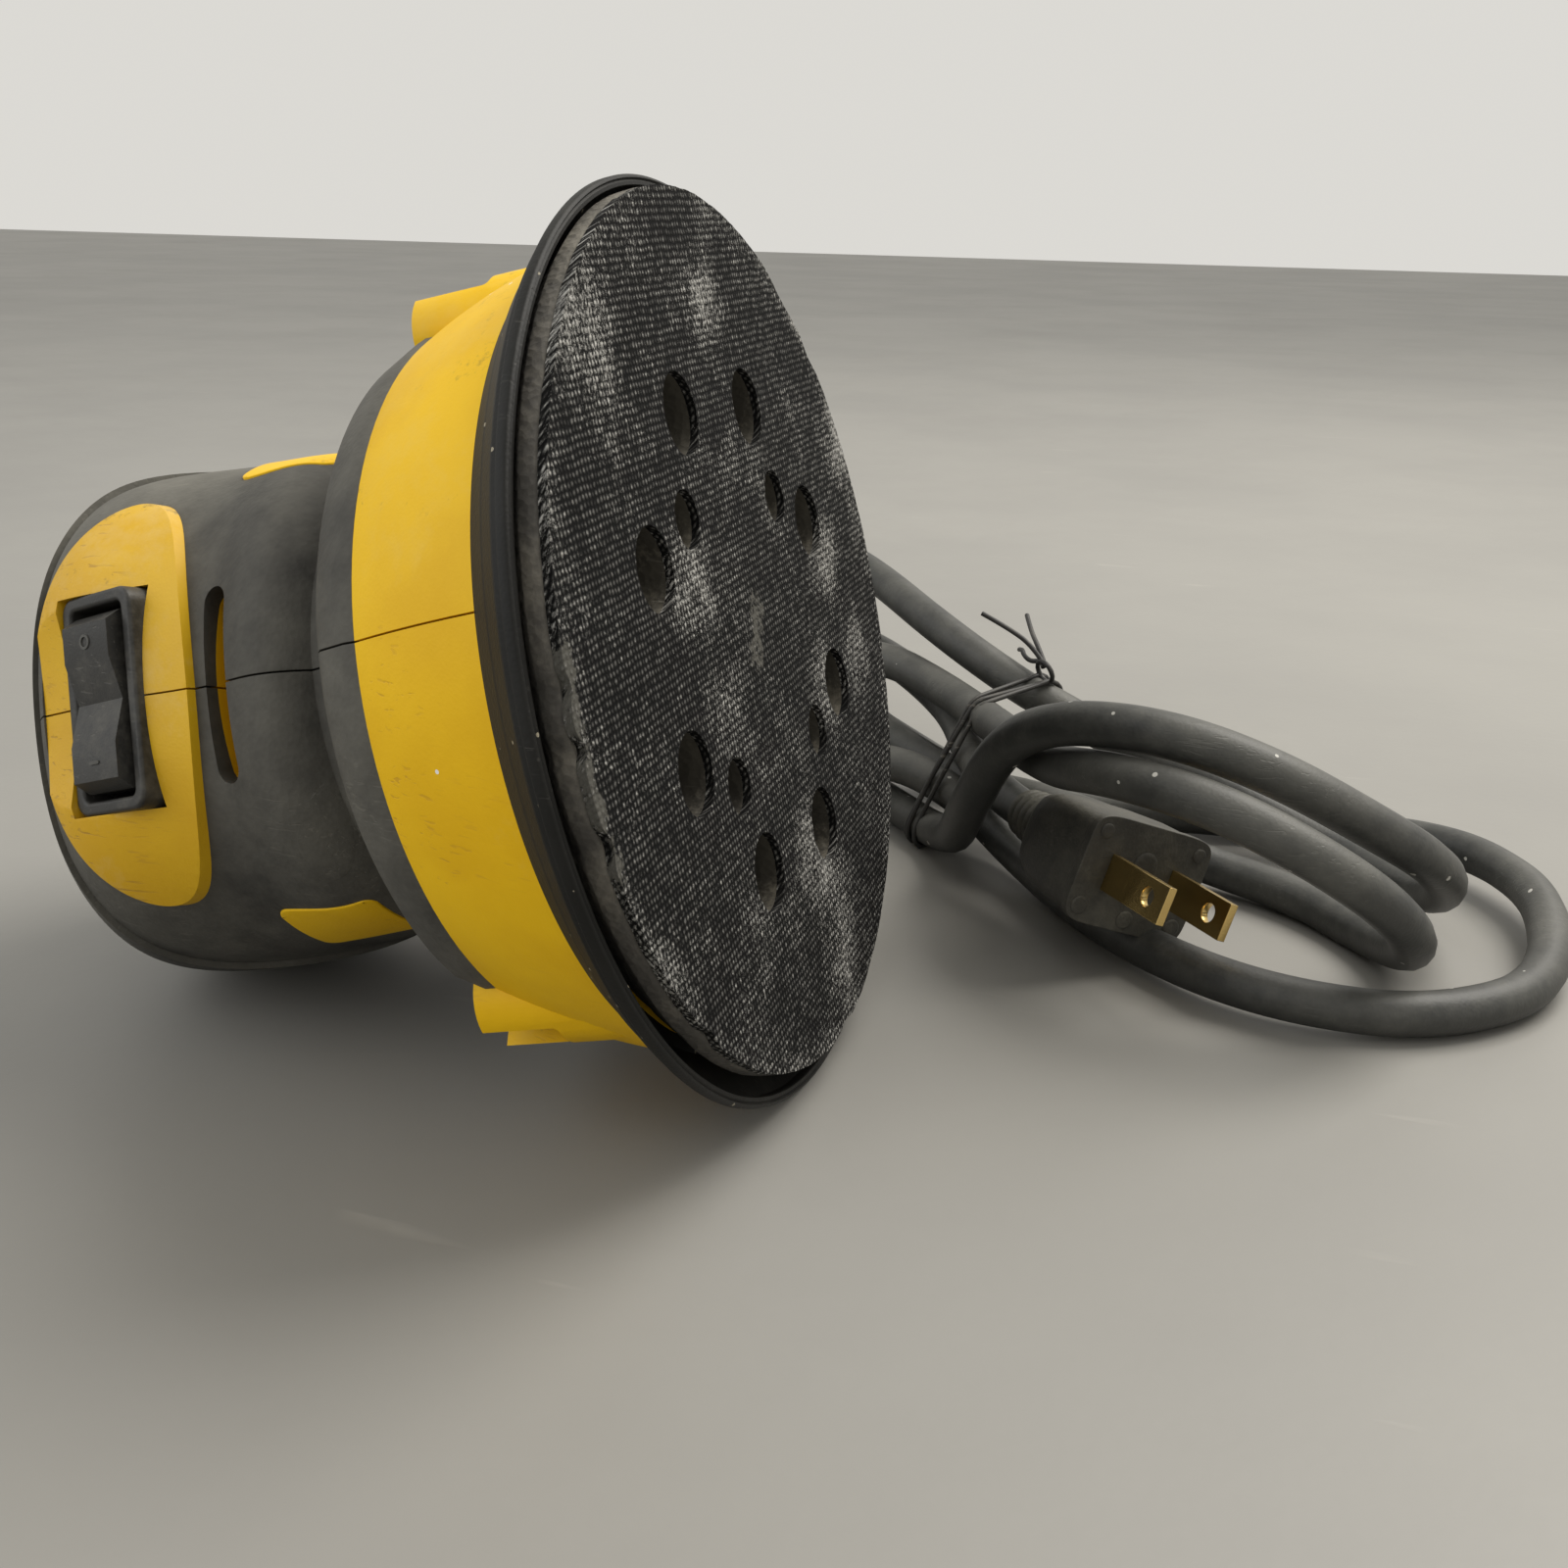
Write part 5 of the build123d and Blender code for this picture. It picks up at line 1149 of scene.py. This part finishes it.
@dataclass
class MainsLead(Assembly):
    """The folded lead with its plug, its wire tie and its strain relief."""

    diameter: float = 0.0074
    length: float = 1.85
    exit_from_foot: Point = (-0.0793, 0.0738, 0.0192)
    tie_from_foot: Point = (0.0150, 0.0995, 0.0220)
    tie_along: Point = (0.735, -0.662, -0.147)
    tie_reach: float = 0.024
    wire: float = 0.0005
    tie_ring: float = 0.0024
    twist: float = 0.0007
    plug_from_foot: Point = (0.053, 0.0446, 0.0175)
    plug_aim: Point = (0.625, -0.776, 0.03)
    plug_across: Point = (0.75, 0.56, -0.35)
    plug_width: float = 0.025
    plug_height: float = 0.019
    ring_start: float = -0.0262
    ring_pitch: float = 0.0024
    ring_radius: float = 0.0061
    ring_taper: float = 0.00035
    ring_depth: float = 0.0007
    tie_steps: int = 20

    def build(self) -> None:
        """Make the lead and everything on it."""
        lead = self.lead()
        plug = self.plug()
        blades = self.skin("plug_blades", "brass", Body.CASE, Slot.BRASS, 0.00018, 30.0)
        tie = self.tie(self.route_points(lead))
        self.skin("strain_relief", "rubber", Body.CASE, Slot.RUBBER, 0.0004, 30.0)

    def lead(self) -> Thing:
        """Lay the lead as one open spline.

        Returns:
            The lead.
        """
        points = [self.frames.foot + Vector(place) * MM for place in LEAD_POINTS]
        thing = Bench.strand("mains_lead", points, self.diameter / 2, 5, 10)
        self.finishes.dress(thing, "cord")
        return self.register(thing, Body.CASE, Slot.RUBBER, "cord_lead", "cord_hank")

    def route_points(self, lead: Thing) -> list[Vector]:
        """Points along the middle of the lead, from its spline without its thickness.

        Args:
            lead: The laid lead.

        Returns:
            The points in order.
        """
        bare = lead.copy()
        bare.data = lead.data.copy()
        bare.data.bevel_depth = 0.0
        bare.parent = None
        bpy.context.scene.collection.objects.link(bare)
        bpy.context.view_layer.update()
        mesh = bpy.data.meshes.new_from_object(bare.evaluated_get(bpy.context.evaluated_depsgraph_get()))
        points = [vertex.co.copy() for vertex in mesh.vertices]
        bpy.data.meshes.remove(mesh)
        bpy.data.objects.remove(bare)
        return points

    def plug(self) -> Thing:
        """Mould the plug: flanged face, tapered body and ringed neck.

        Returns:
            The plug.
        """
        wide, high = self.plug_width / 2, self.plug_height / 2
        outline = ((1.00, 0.0, 7.0), (1.00, -0.0016, 7.0), (0.965, -0.0022, 6.5), (0.955, -0.010, 6.0),
                   (0.90, -0.017, 5.0), (0.80, -0.0215, 4.0), (0.66, -0.0245, 3.2))
        sections = [Section(wide * share, z, high * share, power) for share, z, power in outline]
        for ring in range(5):
            z = self.ring_start - ring * self.ring_pitch
            radius = self.ring_radius - ring * self.ring_taper
            neck = radius - self.ring_depth
            sections += [Section(radius, z), Section(radius, z - 0.0012), Section(neck, z - 0.0014),
                         Section(neck, z - 0.0022)]
        body = Bench.stacked("plug_moulding", sections, 72)
        Bench.bevel(body, 0.00045, 3, 30.0)
        bosses = [body]
        for x, y, radius in ((-0.0098, -0.0066, 0.0016), (0.0, -0.0072, 0.0016), (0.0098, -0.0066, 0.0016),
                             (-0.0098, 0.0066, 0.0013), (0.0098, 0.0066, 0.0013), (0.0, 0.0025, 0.0024)):
            boss = Bench.stacked("boss", [Section(radius, -0.0004), Section(radius, 0.0001),
                                          Section(radius * 0.75, 0.00035)], 24)
            boss.data.transform(Matrix.Translation((x, y, 0)))
            bosses.append(boss)
        plug = Bench.join("plug_moulding", bosses)
        aim = Vector(self.plug_aim).normalized()
        turn = turned(squared(Vector(self.plug_across), aim), aim)
        place = Matrix.Translation(self.frames.foot + Vector(self.plug_from_foot)) @ turn
        plug.data.transform(place)
        Bench.smooth(plug, 40.0)
        self.finishes.dress(plug, "plug")
        return self.register(plug, Body.CASE, Slot.RUBBER, "plug_body")

    def tie(self, route: Sequence[Vector]) -> Thing:
        """Wind the wire tie round the strands where the hank is tied, with its twist and tails.

        Args:
            route: Points along the middle of the lead.

        Returns:
            The tie.
        """
        along = Vector(self.tie_along).normalized()
        side = along.cross(Vector((0, 0, 1))).normalized()
        up = side.cross(along)
        middle = self.frames.foot + Vector(self.tie_from_foot)
        reach = self.diameter / 2 + self.wire
        rim = []
        for start, end in zip(route, route[1:]):
            near, far = (start - middle).dot(along), (end - middle).dot(along)
            if near * far > 0 or near == far:
                continue
            crossing = start.lerp(end, near / (near - far)) - middle
            if crossing.length < self.tie_reach:
                for step in range(self.tie_steps):
                    turn = math.tau * step / self.tie_steps
                    rim.append(Vector((crossing.dot(side) + reach * math.cos(turn),
                                       crossing.dot(up) + reach * math.sin(turn))))
        LOG.info("tie holds %d strands", len(rim) // self.tie_steps)
        hull = [rim[index] for index in geometry.convex_hull_2d(rim)]
        loops = []
        for shift, tilt in ((-0.0008, 0.08), (0.0006, -0.05), (0.0021, 0.04)):
            loop = [middle + side * p.x + up * p.y + along * (shift + tilt * p.x) for p in hull]
            for place in loop:
                place.z = max(place.z, self.wire)
            loops.append(loop)
        top = max(hull, key=lambda p: p.y)
        knot = middle + side * top.x + up * (top.y + 0.0016)
        pieces = [self.wire_piece("tie_loop", loop, True) for loop in loops]
        lean = up * 0.9 + side * 0.3
        ring = [knot + along * self.tie_ring * math.cos(a) + lean * self.tie_ring * math.sin(a)
                for a in (math.tau * step / 14 for step in range(14))]
        pieces.append(self.wire_piece("tie_ring", ring, True))
        twist = [knot + side * (self.twist * math.cos(step * 1.6))
                 + up * (self.twist * math.sin(step * 1.6) + 0.001) - along * 0.0016 * step
                 for step in range(7)]
        pieces.append(self.wire_piece("tie_twist", twist, False))
        for lean, rise in ((0.35, 0.9), (-0.25, 0.7)):
            tail = [knot + up * 0.001, knot + up * 0.004 - along * 0.004 + side * 0.002 * lean,
                    knot + up * (0.007 * rise) - along * 0.009 + side * 0.010 * lean,
                    knot + up * (0.009 * rise) - along * 0.014 + side * 0.020 * lean]
            pieces.append(self.wire_piece("tie_tail", tail, False))
        tie = Bench.join("wire_tie", pieces)
        Bench.smooth(tie, 50.0)
        self.finishes.dress(tie, "black_plastic")
        return self.register(tie, Body.CASE, Slot.BLACK, "cord_tie")

    def wire_piece(self, name: str, points: Sequence[Vector], closed: bool) -> Thing:
        """Make one run of the tie's wire as a mesh.

        Args:
            name: Name of the run.
            points: Points along it.
            closed: Join the last point to the first.

        Returns:
            The run.
        """
        Bench.pick(Bench.strand(name, points, self.wire, 2, closed=closed))
        bpy.ops.object.convert(target="MESH")
        return Bench.named(name)


# ---------------------------------------------------------------- sanding pad
@dataclass
class SandingPad(Assembly):
    """Worn hook facing and foam, with sizes in millimetres; a chip is a turn, a width and a depth."""

    radius: float = 62.0
    hook: float = 1.2
    dust_circle: float = 34.2
    dust_radius: float = 5.6
    dust_phase: float = 8.0
    screw_circle: float = 25.5
    screw_radius: float = 4.0
    screw_phase: float = 30.5
    overrun: float = 2.0
    rim_inside: float = 50.0
    chips: tuple[Point, ...] = (
        (-101.0, 2.4, 1.1), (-107.5, 2.0, 1.5), (-118.5, 3.0, 1.3), (25.4, 7.0, 0.8), (36.0, 5.0, 0.9),
        (160.0, 4.0, 0.7), (210.0, 3.0, 0.9), (88.0, 2.5, 0.7))

    def build(self) -> None:
        """Make the hook facing and the foam."""
        self.hook_face()
        self.foam()

    def holes(self, height: float) -> list[Thing]:
        """Cutters for the dust and screw holes.

        Args:
            height: How far they reach behind the face, in millimetres.

        Returns:
            One cutter per hole, in the pad's frame.
        """
        cutters = []
        for count, circle, radius, phase in ((8, self.dust_circle, self.dust_radius, self.dust_phase),
                                             (4, self.screw_circle, self.screw_radius, self.screw_phase)):
            for index in range(count):
                turn = math.radians(phase + index * 360 / count)
                x, y = circle * math.cos(turn) * MM, circle * math.sin(turn) * MM
                place = Matrix.Translation((x, y, -self.overrun * MM))
                cutters.append(Bench.post("hole", radius * MM, height * MM + self.overrun * MM, place, 40))
        return cutters

    def rim(self, turn: float, jitter: float) -> float:
        """Radius of the ragged rim at a turn in radians, in millimetres.

        Args:
            turn: Turn round the pad in radians.
            jitter: How ragged the rim is, with 1 for the hook facing.

        Returns:
            The radius.
        """
        wave = noise.noise(Vector((math.cos(turn) * 9, math.sin(turn) * 9, 0.3)))
        fine = noise.noise(Vector((math.cos(turn) * 34, math.sin(turn) * 34, 4.0)))
        radius = self.radius - jitter * (0.18 + 0.14 * wave + 0.16 * fine)
        for centre, width, depth in self.chips:
            gap = abs((math.degrees(turn) - centre + 180) % 360 - 180)
            if gap < width:
                radius -= jitter * depth * (0.5 + 0.5 * math.cos(math.pi * gap / width))
        return radius

    def wear_rim(self, thing: Thing, jitter: float) -> None:
        """Make the rim of a turned body ragged.

        Args:
            thing: Body round the pad's axis.
            jitter: How ragged the rim is, with 1 for the hook facing.
        """
        for vertex in thing.data.vertices:
            if vertex.co.xy.length > self.rim_inside * MM:
                scale = self.rim(math.atan2(vertex.co.y, vertex.co.x), jitter) / self.radius
                vertex.co.x *= scale
                vertex.co.y *= scale

    def hook_face(self) -> None:
        """Cut the hook facing with its ragged rim and its holes."""
        sections = [Section(self.radius * MM, z * MM) for z in (0.0, self.hook)]
        face = Bench.stacked("hook_facing", sections, 420)
        self.wear_rim(face, 1.0)
        Bench.cut(face, self.holes(4.0))
        Bench.outward(face)
        Bench.bevel(face, 0.00025, 2, 40.0)
        for old in list(face.data.uv_layers):
            face.data.uv_layers.remove(old)
        layer = face.data.uv_layers.new(name="weave")
        for loop in face.data.loops:
            place = face.data.vertices[loop.vertex_index].co
            layer.data[loop.index].uv = (place.x / MM + place.z / MM, place.y / MM + place.z / MM)
        face.data.transform(self.frames.pad)
        Bench.smooth(face, 35.0)
        self.finishes.dress(face, "hook")
        self.register(face, Body.PAD, Slot.HOOK, "hook_face")

    def foam(self) -> None:
        """Turn the foam with its tapered back, its worn edge and its dusty holes."""
        top = self.foam_top()
        rows = ((60.0, self.hook), (61.6, self.hook), (61.95, 1.7), (61.9, 3.6), (61.5, 4.1), (59.6, 6.3),
                (57.2, top), (20.0, top))
        foam = Bench.stacked("foam_backing", [Section(r * MM, z * MM) for r, z in rows], 300)
        self.wear_rim(foam, 0.3)
        Bench.cut(foam, self.holes(top + 2.0))
        Bench.outward(foam)
        self.finishes.dress(foam, "foam")
        foam.data.materials.append(self.finishes.get("hole_dust"))
        for face in foam.data.polygons:
            inside = face.center.xy.length < (self.dust_circle + self.dust_radius + 0.6) * MM
            if abs(face.normal.z) < 0.3 and inside:
                face.material_index = 1
        foam.data.transform(self.frames.pad)
        Bench.smooth(foam, 40.0)
        self.register(foam, Body.PAD, Slot.FOAM, "foam_pad")

    def foam_top(self) -> float:
        """Height of the foam's back above the pad's face, in millimetres."""
        inverse = self.frames.pad.inverted()
        return max((inverse @ vertex.co).z for vertex in self.nodes["foam_pad"].data.vertices) / MM


# ---------------------------------------------------------------- shroud
@dataclass
class Shroud(Assembly):
    """Soft ring round the pad with a ridged lip. Sizes are in millimetres."""

    profile: tuple[Pair, ...] = (
        (63.6, 3.7), (63.75, 3.5), (64.2, 3.5), (64.45, 3.75), (64.7, 3.5), (65.0, 3.6), (65.2, 3.9),
        (65.2, 4.75), (65.0, 5.05), (64.4, 5.2), (64.1, 5.5), (64.05, 6.1), (63.6, 6.6), (60.9, 9.2),
        (60.75, 9.45), (60.3, 9.75), (57.6, 12.45), (57.4, 12.7), (55.8, 12.7), (55.8, 10.6), (57.6, 10.6),
        (62.1, 6.2), (63.6, 5.0))

    def build(self) -> None:
        """Turn the ring and dress it."""
        ring = Bench.stacked("shroud_lip", [Section(r * MM, z * MM) for r, z in self.profile], 240, "ring")
        ring.data.transform(self.frames.tool)
        Bench.smooth(ring, 42.0)
        self.finishes.dress(ring, "shroud")
        self.register(ring, Body.CASE, Slot.RUBBER, "shroud_ring")


# ---------------------------------------------------------------- housing, grips and switch
@dataclass
class SplitShell(Assembly):
    """A shell in a left and a right half, with a fine open seam between them."""

    seam: float = 0.00013
    touch: float = 0.00003
    crease: float = 38.0
    side: int = 1

    def apart(self, place: Vector) -> Vector:
        """Set a point of the joint back by half the seam's width, in the tool's frame.

        Args:
            place: Point to move.

        Returns:
            The same point.
        """
        if abs(place.x) < self.touch:
            place.x = self.seam * self.side
        return place

    def half(self, name: str, side: int, finish: str, edge: float, patches: Sequence[Thing] = (),
             cutters: Sequence[Thing] = ()) -> None:
        """Dress one half of a shell.

        Args:
            name: Name of the shell's nodes without their side.
            side: 1 for the left half, -1 for the right half.
            finish: Name of the finish.
            edge: Width of the rounded edges.
            patches: Bodies to join to the half.
            cutters: Bodies to take away from the half.
        """
        self.side = side
        slot = Slot.YELLOW if finish.startswith("yellow") else Slot.RUBBER
        node = name + ("_left" if side > 0 else "_right")
        self.skin(node, finish, Body.CASE, slot, edge, self.crease, self.apart, patches, cutters)


@dataclass
class Housing(SplitShell):
    """Yellow housing halves with their side plates, and a slot in each screw boss."""

    boss_turn: float = -22.0
    slot_floor: float = 0.0496
    slot_size: Point = (0.010, 0.0066, 0.015)
    slot_base: float = 0.0252

    def build(self) -> None:
        """Dress the halves and the plates."""
        for side in (1, -1):
            self.half("housing", side, "yellow", 0.0004, cutters=[self.boss_slot(side)])
            self.half("side_plate", side, "yellow", 0.0003)

    def boss_slot(self, side: int) -> Thing:
        """Cutter that opens a screw boss towards the outside, down to its seat.

        Args:
            side: 1 for the left boss, -1 for the right one.

        Returns:
            The cutter.
        """
        turn = math.radians(self.boss_turn if side > 0 else 180.0 - self.boss_turn)
        deep, wide, high = self.slot_size
        Bench.clear()
        middle = (self.slot_floor + deep / 2, 0, self.slot_base + high / 2)
        bpy.ops.mesh.primitive_cube_add(size=1.0, location=middle, scale=(deep, wide, high))
        cutter = Bench.named("boss_slot")
        Bench.settle(cutter)
        Bench.bevel(cutter, 0.0008, 3, 60.0)
        cutter.data.transform(self.frames.tool @ Matrix.Rotation(turn, 4, "Z"))
        return cutter


@dataclass
class HeadGrip(SplitShell):
    """Rubber over the shoulder, neck and head."""

    blank: Point = (-0.060, -0.0312, 0.0535)
    blank_radius: float = 0.0038
    blank_length: float = 0.060

    def build(self) -> None:
        """Dress the grips and the palm grip."""
        self.half("grip", 1, "rubber", 0.0005)
        self.half("grip", -1, "rubber", 0.0005, [self.screw_cover()])
        self.skin("palm_grip", "rubber", Body.CASE, Slot.RUBBER, 0.0005, self.crease)

    def screw_cover(self) -> Thing:
        """Flush cover over the front screw hole, cut from the left grip's mirrored shape.

        Returns:
            The cover.
        """
        cover = Bench.loose_copy(self.nodes["grip_left"], "screw_cover")
        inverse = self.frames.tool.inverted()
        cover.data.transform(self.frames.tool @ Matrix.Diagonal((-1, 1, 1, 1)) @ inverse)
        Bench.outward(cover)
        place = self.frames.tool @ Matrix.Translation(self.blank) @ Matrix.Rotation(math.pi / 2, 4, "Y")
        core = Bench.post("core", self.blank_radius, self.blank_length, place, 48)
        Bench.cut(cover, [core], "INTERSECT")
        LOG.info("screw cover has %d faces", len(cover.data.polygons))
        return cover


@dataclass
class SwitchPanel(SplitShell):
    """Oval bezel, rubber frame and the rocker with its marks."""

    tilt: float = 14.0
    crest_depth: float = 0.0004
    mark_root: float = 0.0003
    mark_proud: float = 0.00018
    mark_ring: Pair = (0.00105, 0.0007)
    mark_bar: Pair = (0.00025, 0.0011)

    def build(self) -> None:
        """Dress the bezel and the frame, and make the rocker."""
        for side in (1, -1):
            self.half("bezel", side, "yellow_dirty", 0.0006)
        self.skin("switch_frame", "switch_rubber", Body.CASE, Slot.RUBBER, 0.0006, 35.0)
        self.rocker()

    def rocker(self) -> None:
        """Make the soft rocker with a raised end at each side and its I and O marks."""
        frame = self.panel_frame()
        thing = Bench.loose_copy(self.nodes["rocker"], "rocker_boot")
        Bench.flatten(thing)
        Bench.bevel(thing, 0.0007, 3, 28.0)
        inverse = frame.inverted()
        corners = [inverse @ vertex.co for vertex in thing.data.vertices]
        crest = max(corner.z for corner in corners)
        ends = [corner for corner in corners if corner.z > crest - self.crest_depth]
        reach = (max(p.x for p in ends) + min(p.x for p in ends if p.x > 0)) / 2
        low, high = crest - self.mark_root, crest + self.mark_proud
        outer, inner = self.mark_ring
        ring = Bench.stacked("mark_o", [Section(outer, low), Section(outer, high), Section(inner, high),
                                        Section(inner, low)], 32, "ring")
        ring.data.transform(frame @ Matrix.Translation((reach, 0, 0)))
        wide, long = self.mark_bar
        bar = Bench.stacked("mark_i", [Section(wide, low, long, 5.0), Section(wide, high, long, 5.0)], 24)
        bar.data.transform(frame @ Matrix.Translation((-reach, 0, 0)))
        self.finishes.dress(thing, "switch_rubber")
        for mark in (ring, bar):
            Bench.smooth(mark, 35.0)
            self.finishes.dress(mark, "mark_raised")
        Bench.smooth(thing, 40.0)
        rocker = Bench.join("rocker_boot", [thing, ring, bar])
        self.register(rocker, Body.ROCKER, Slot.RUBBER, "rocker")

    def panel_frame(self) -> Matrix:
        """Frame of the switch: X along the rocker, Z outwards, at the middle of its frame.

        Returns:
            The frame.
        """
        lo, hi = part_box("switch_frame")
        corners = [vertex.co for vertex in self.nodes["switch_frame"].data.vertices]
        middle = sum(corners, Vector()) / len(corners)
        tool = self.frames.tool.to_3x3()
        tilt = math.radians(self.tilt)
        out = tool @ Vector((0, -math.cos(tilt), math.sin(tilt)))
        left = tool @ Vector((1, 0, 0))
        LOG.info("switch spans %.1f mm", (hi - lo).length / MM)
        return Matrix.Translation(middle) @ turned(left, out)


@dataclass
class Internals(Assembly):
    """CAD nodes that keep their own shape and only need a finish."""

    by_slot: dict[str, str] = field(default_factory=lambda: {
        "yellow_plastic": "yellow", "black_rubber": "rubber", "hook_fabric": "hook_plain",
        "pad_foam": "foam"})

    def build(self, record: dict[str, Any]) -> None:
        """Dress every CAD node from its slot.

        Args:
            record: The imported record.
        """
        for part in record["subparts"]:
            node = self.nodes[part["node"]]
            slot = part["material_slot"]
            self.finishes.dress(node, self.by_slot.get(slot, slot))
        LOG.info("%d CAD nodes dressed", len(record["subparts"]))


def main() -> None:
    """Build the scene in order."""
    logging.basicConfig(level=logging.INFO, format="%(name)s: %(message)s")
    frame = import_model()
    record = frame["record"]
    frames = Frames.from_record(record)
    finishes = Finishes()
    Studio(finishes).build()
    shared = (frames, frame["nodes"], finishes)
    Internals(*shared).build(record)
    for assembly in (MainsLead, SandingPad, Shroud, Housing, HeadGrip, SwitchPanel):
        LOG.info("making %s", assembly.__name__)
        assembly(*shared).build()


if __name__ == "__main__":
    main()
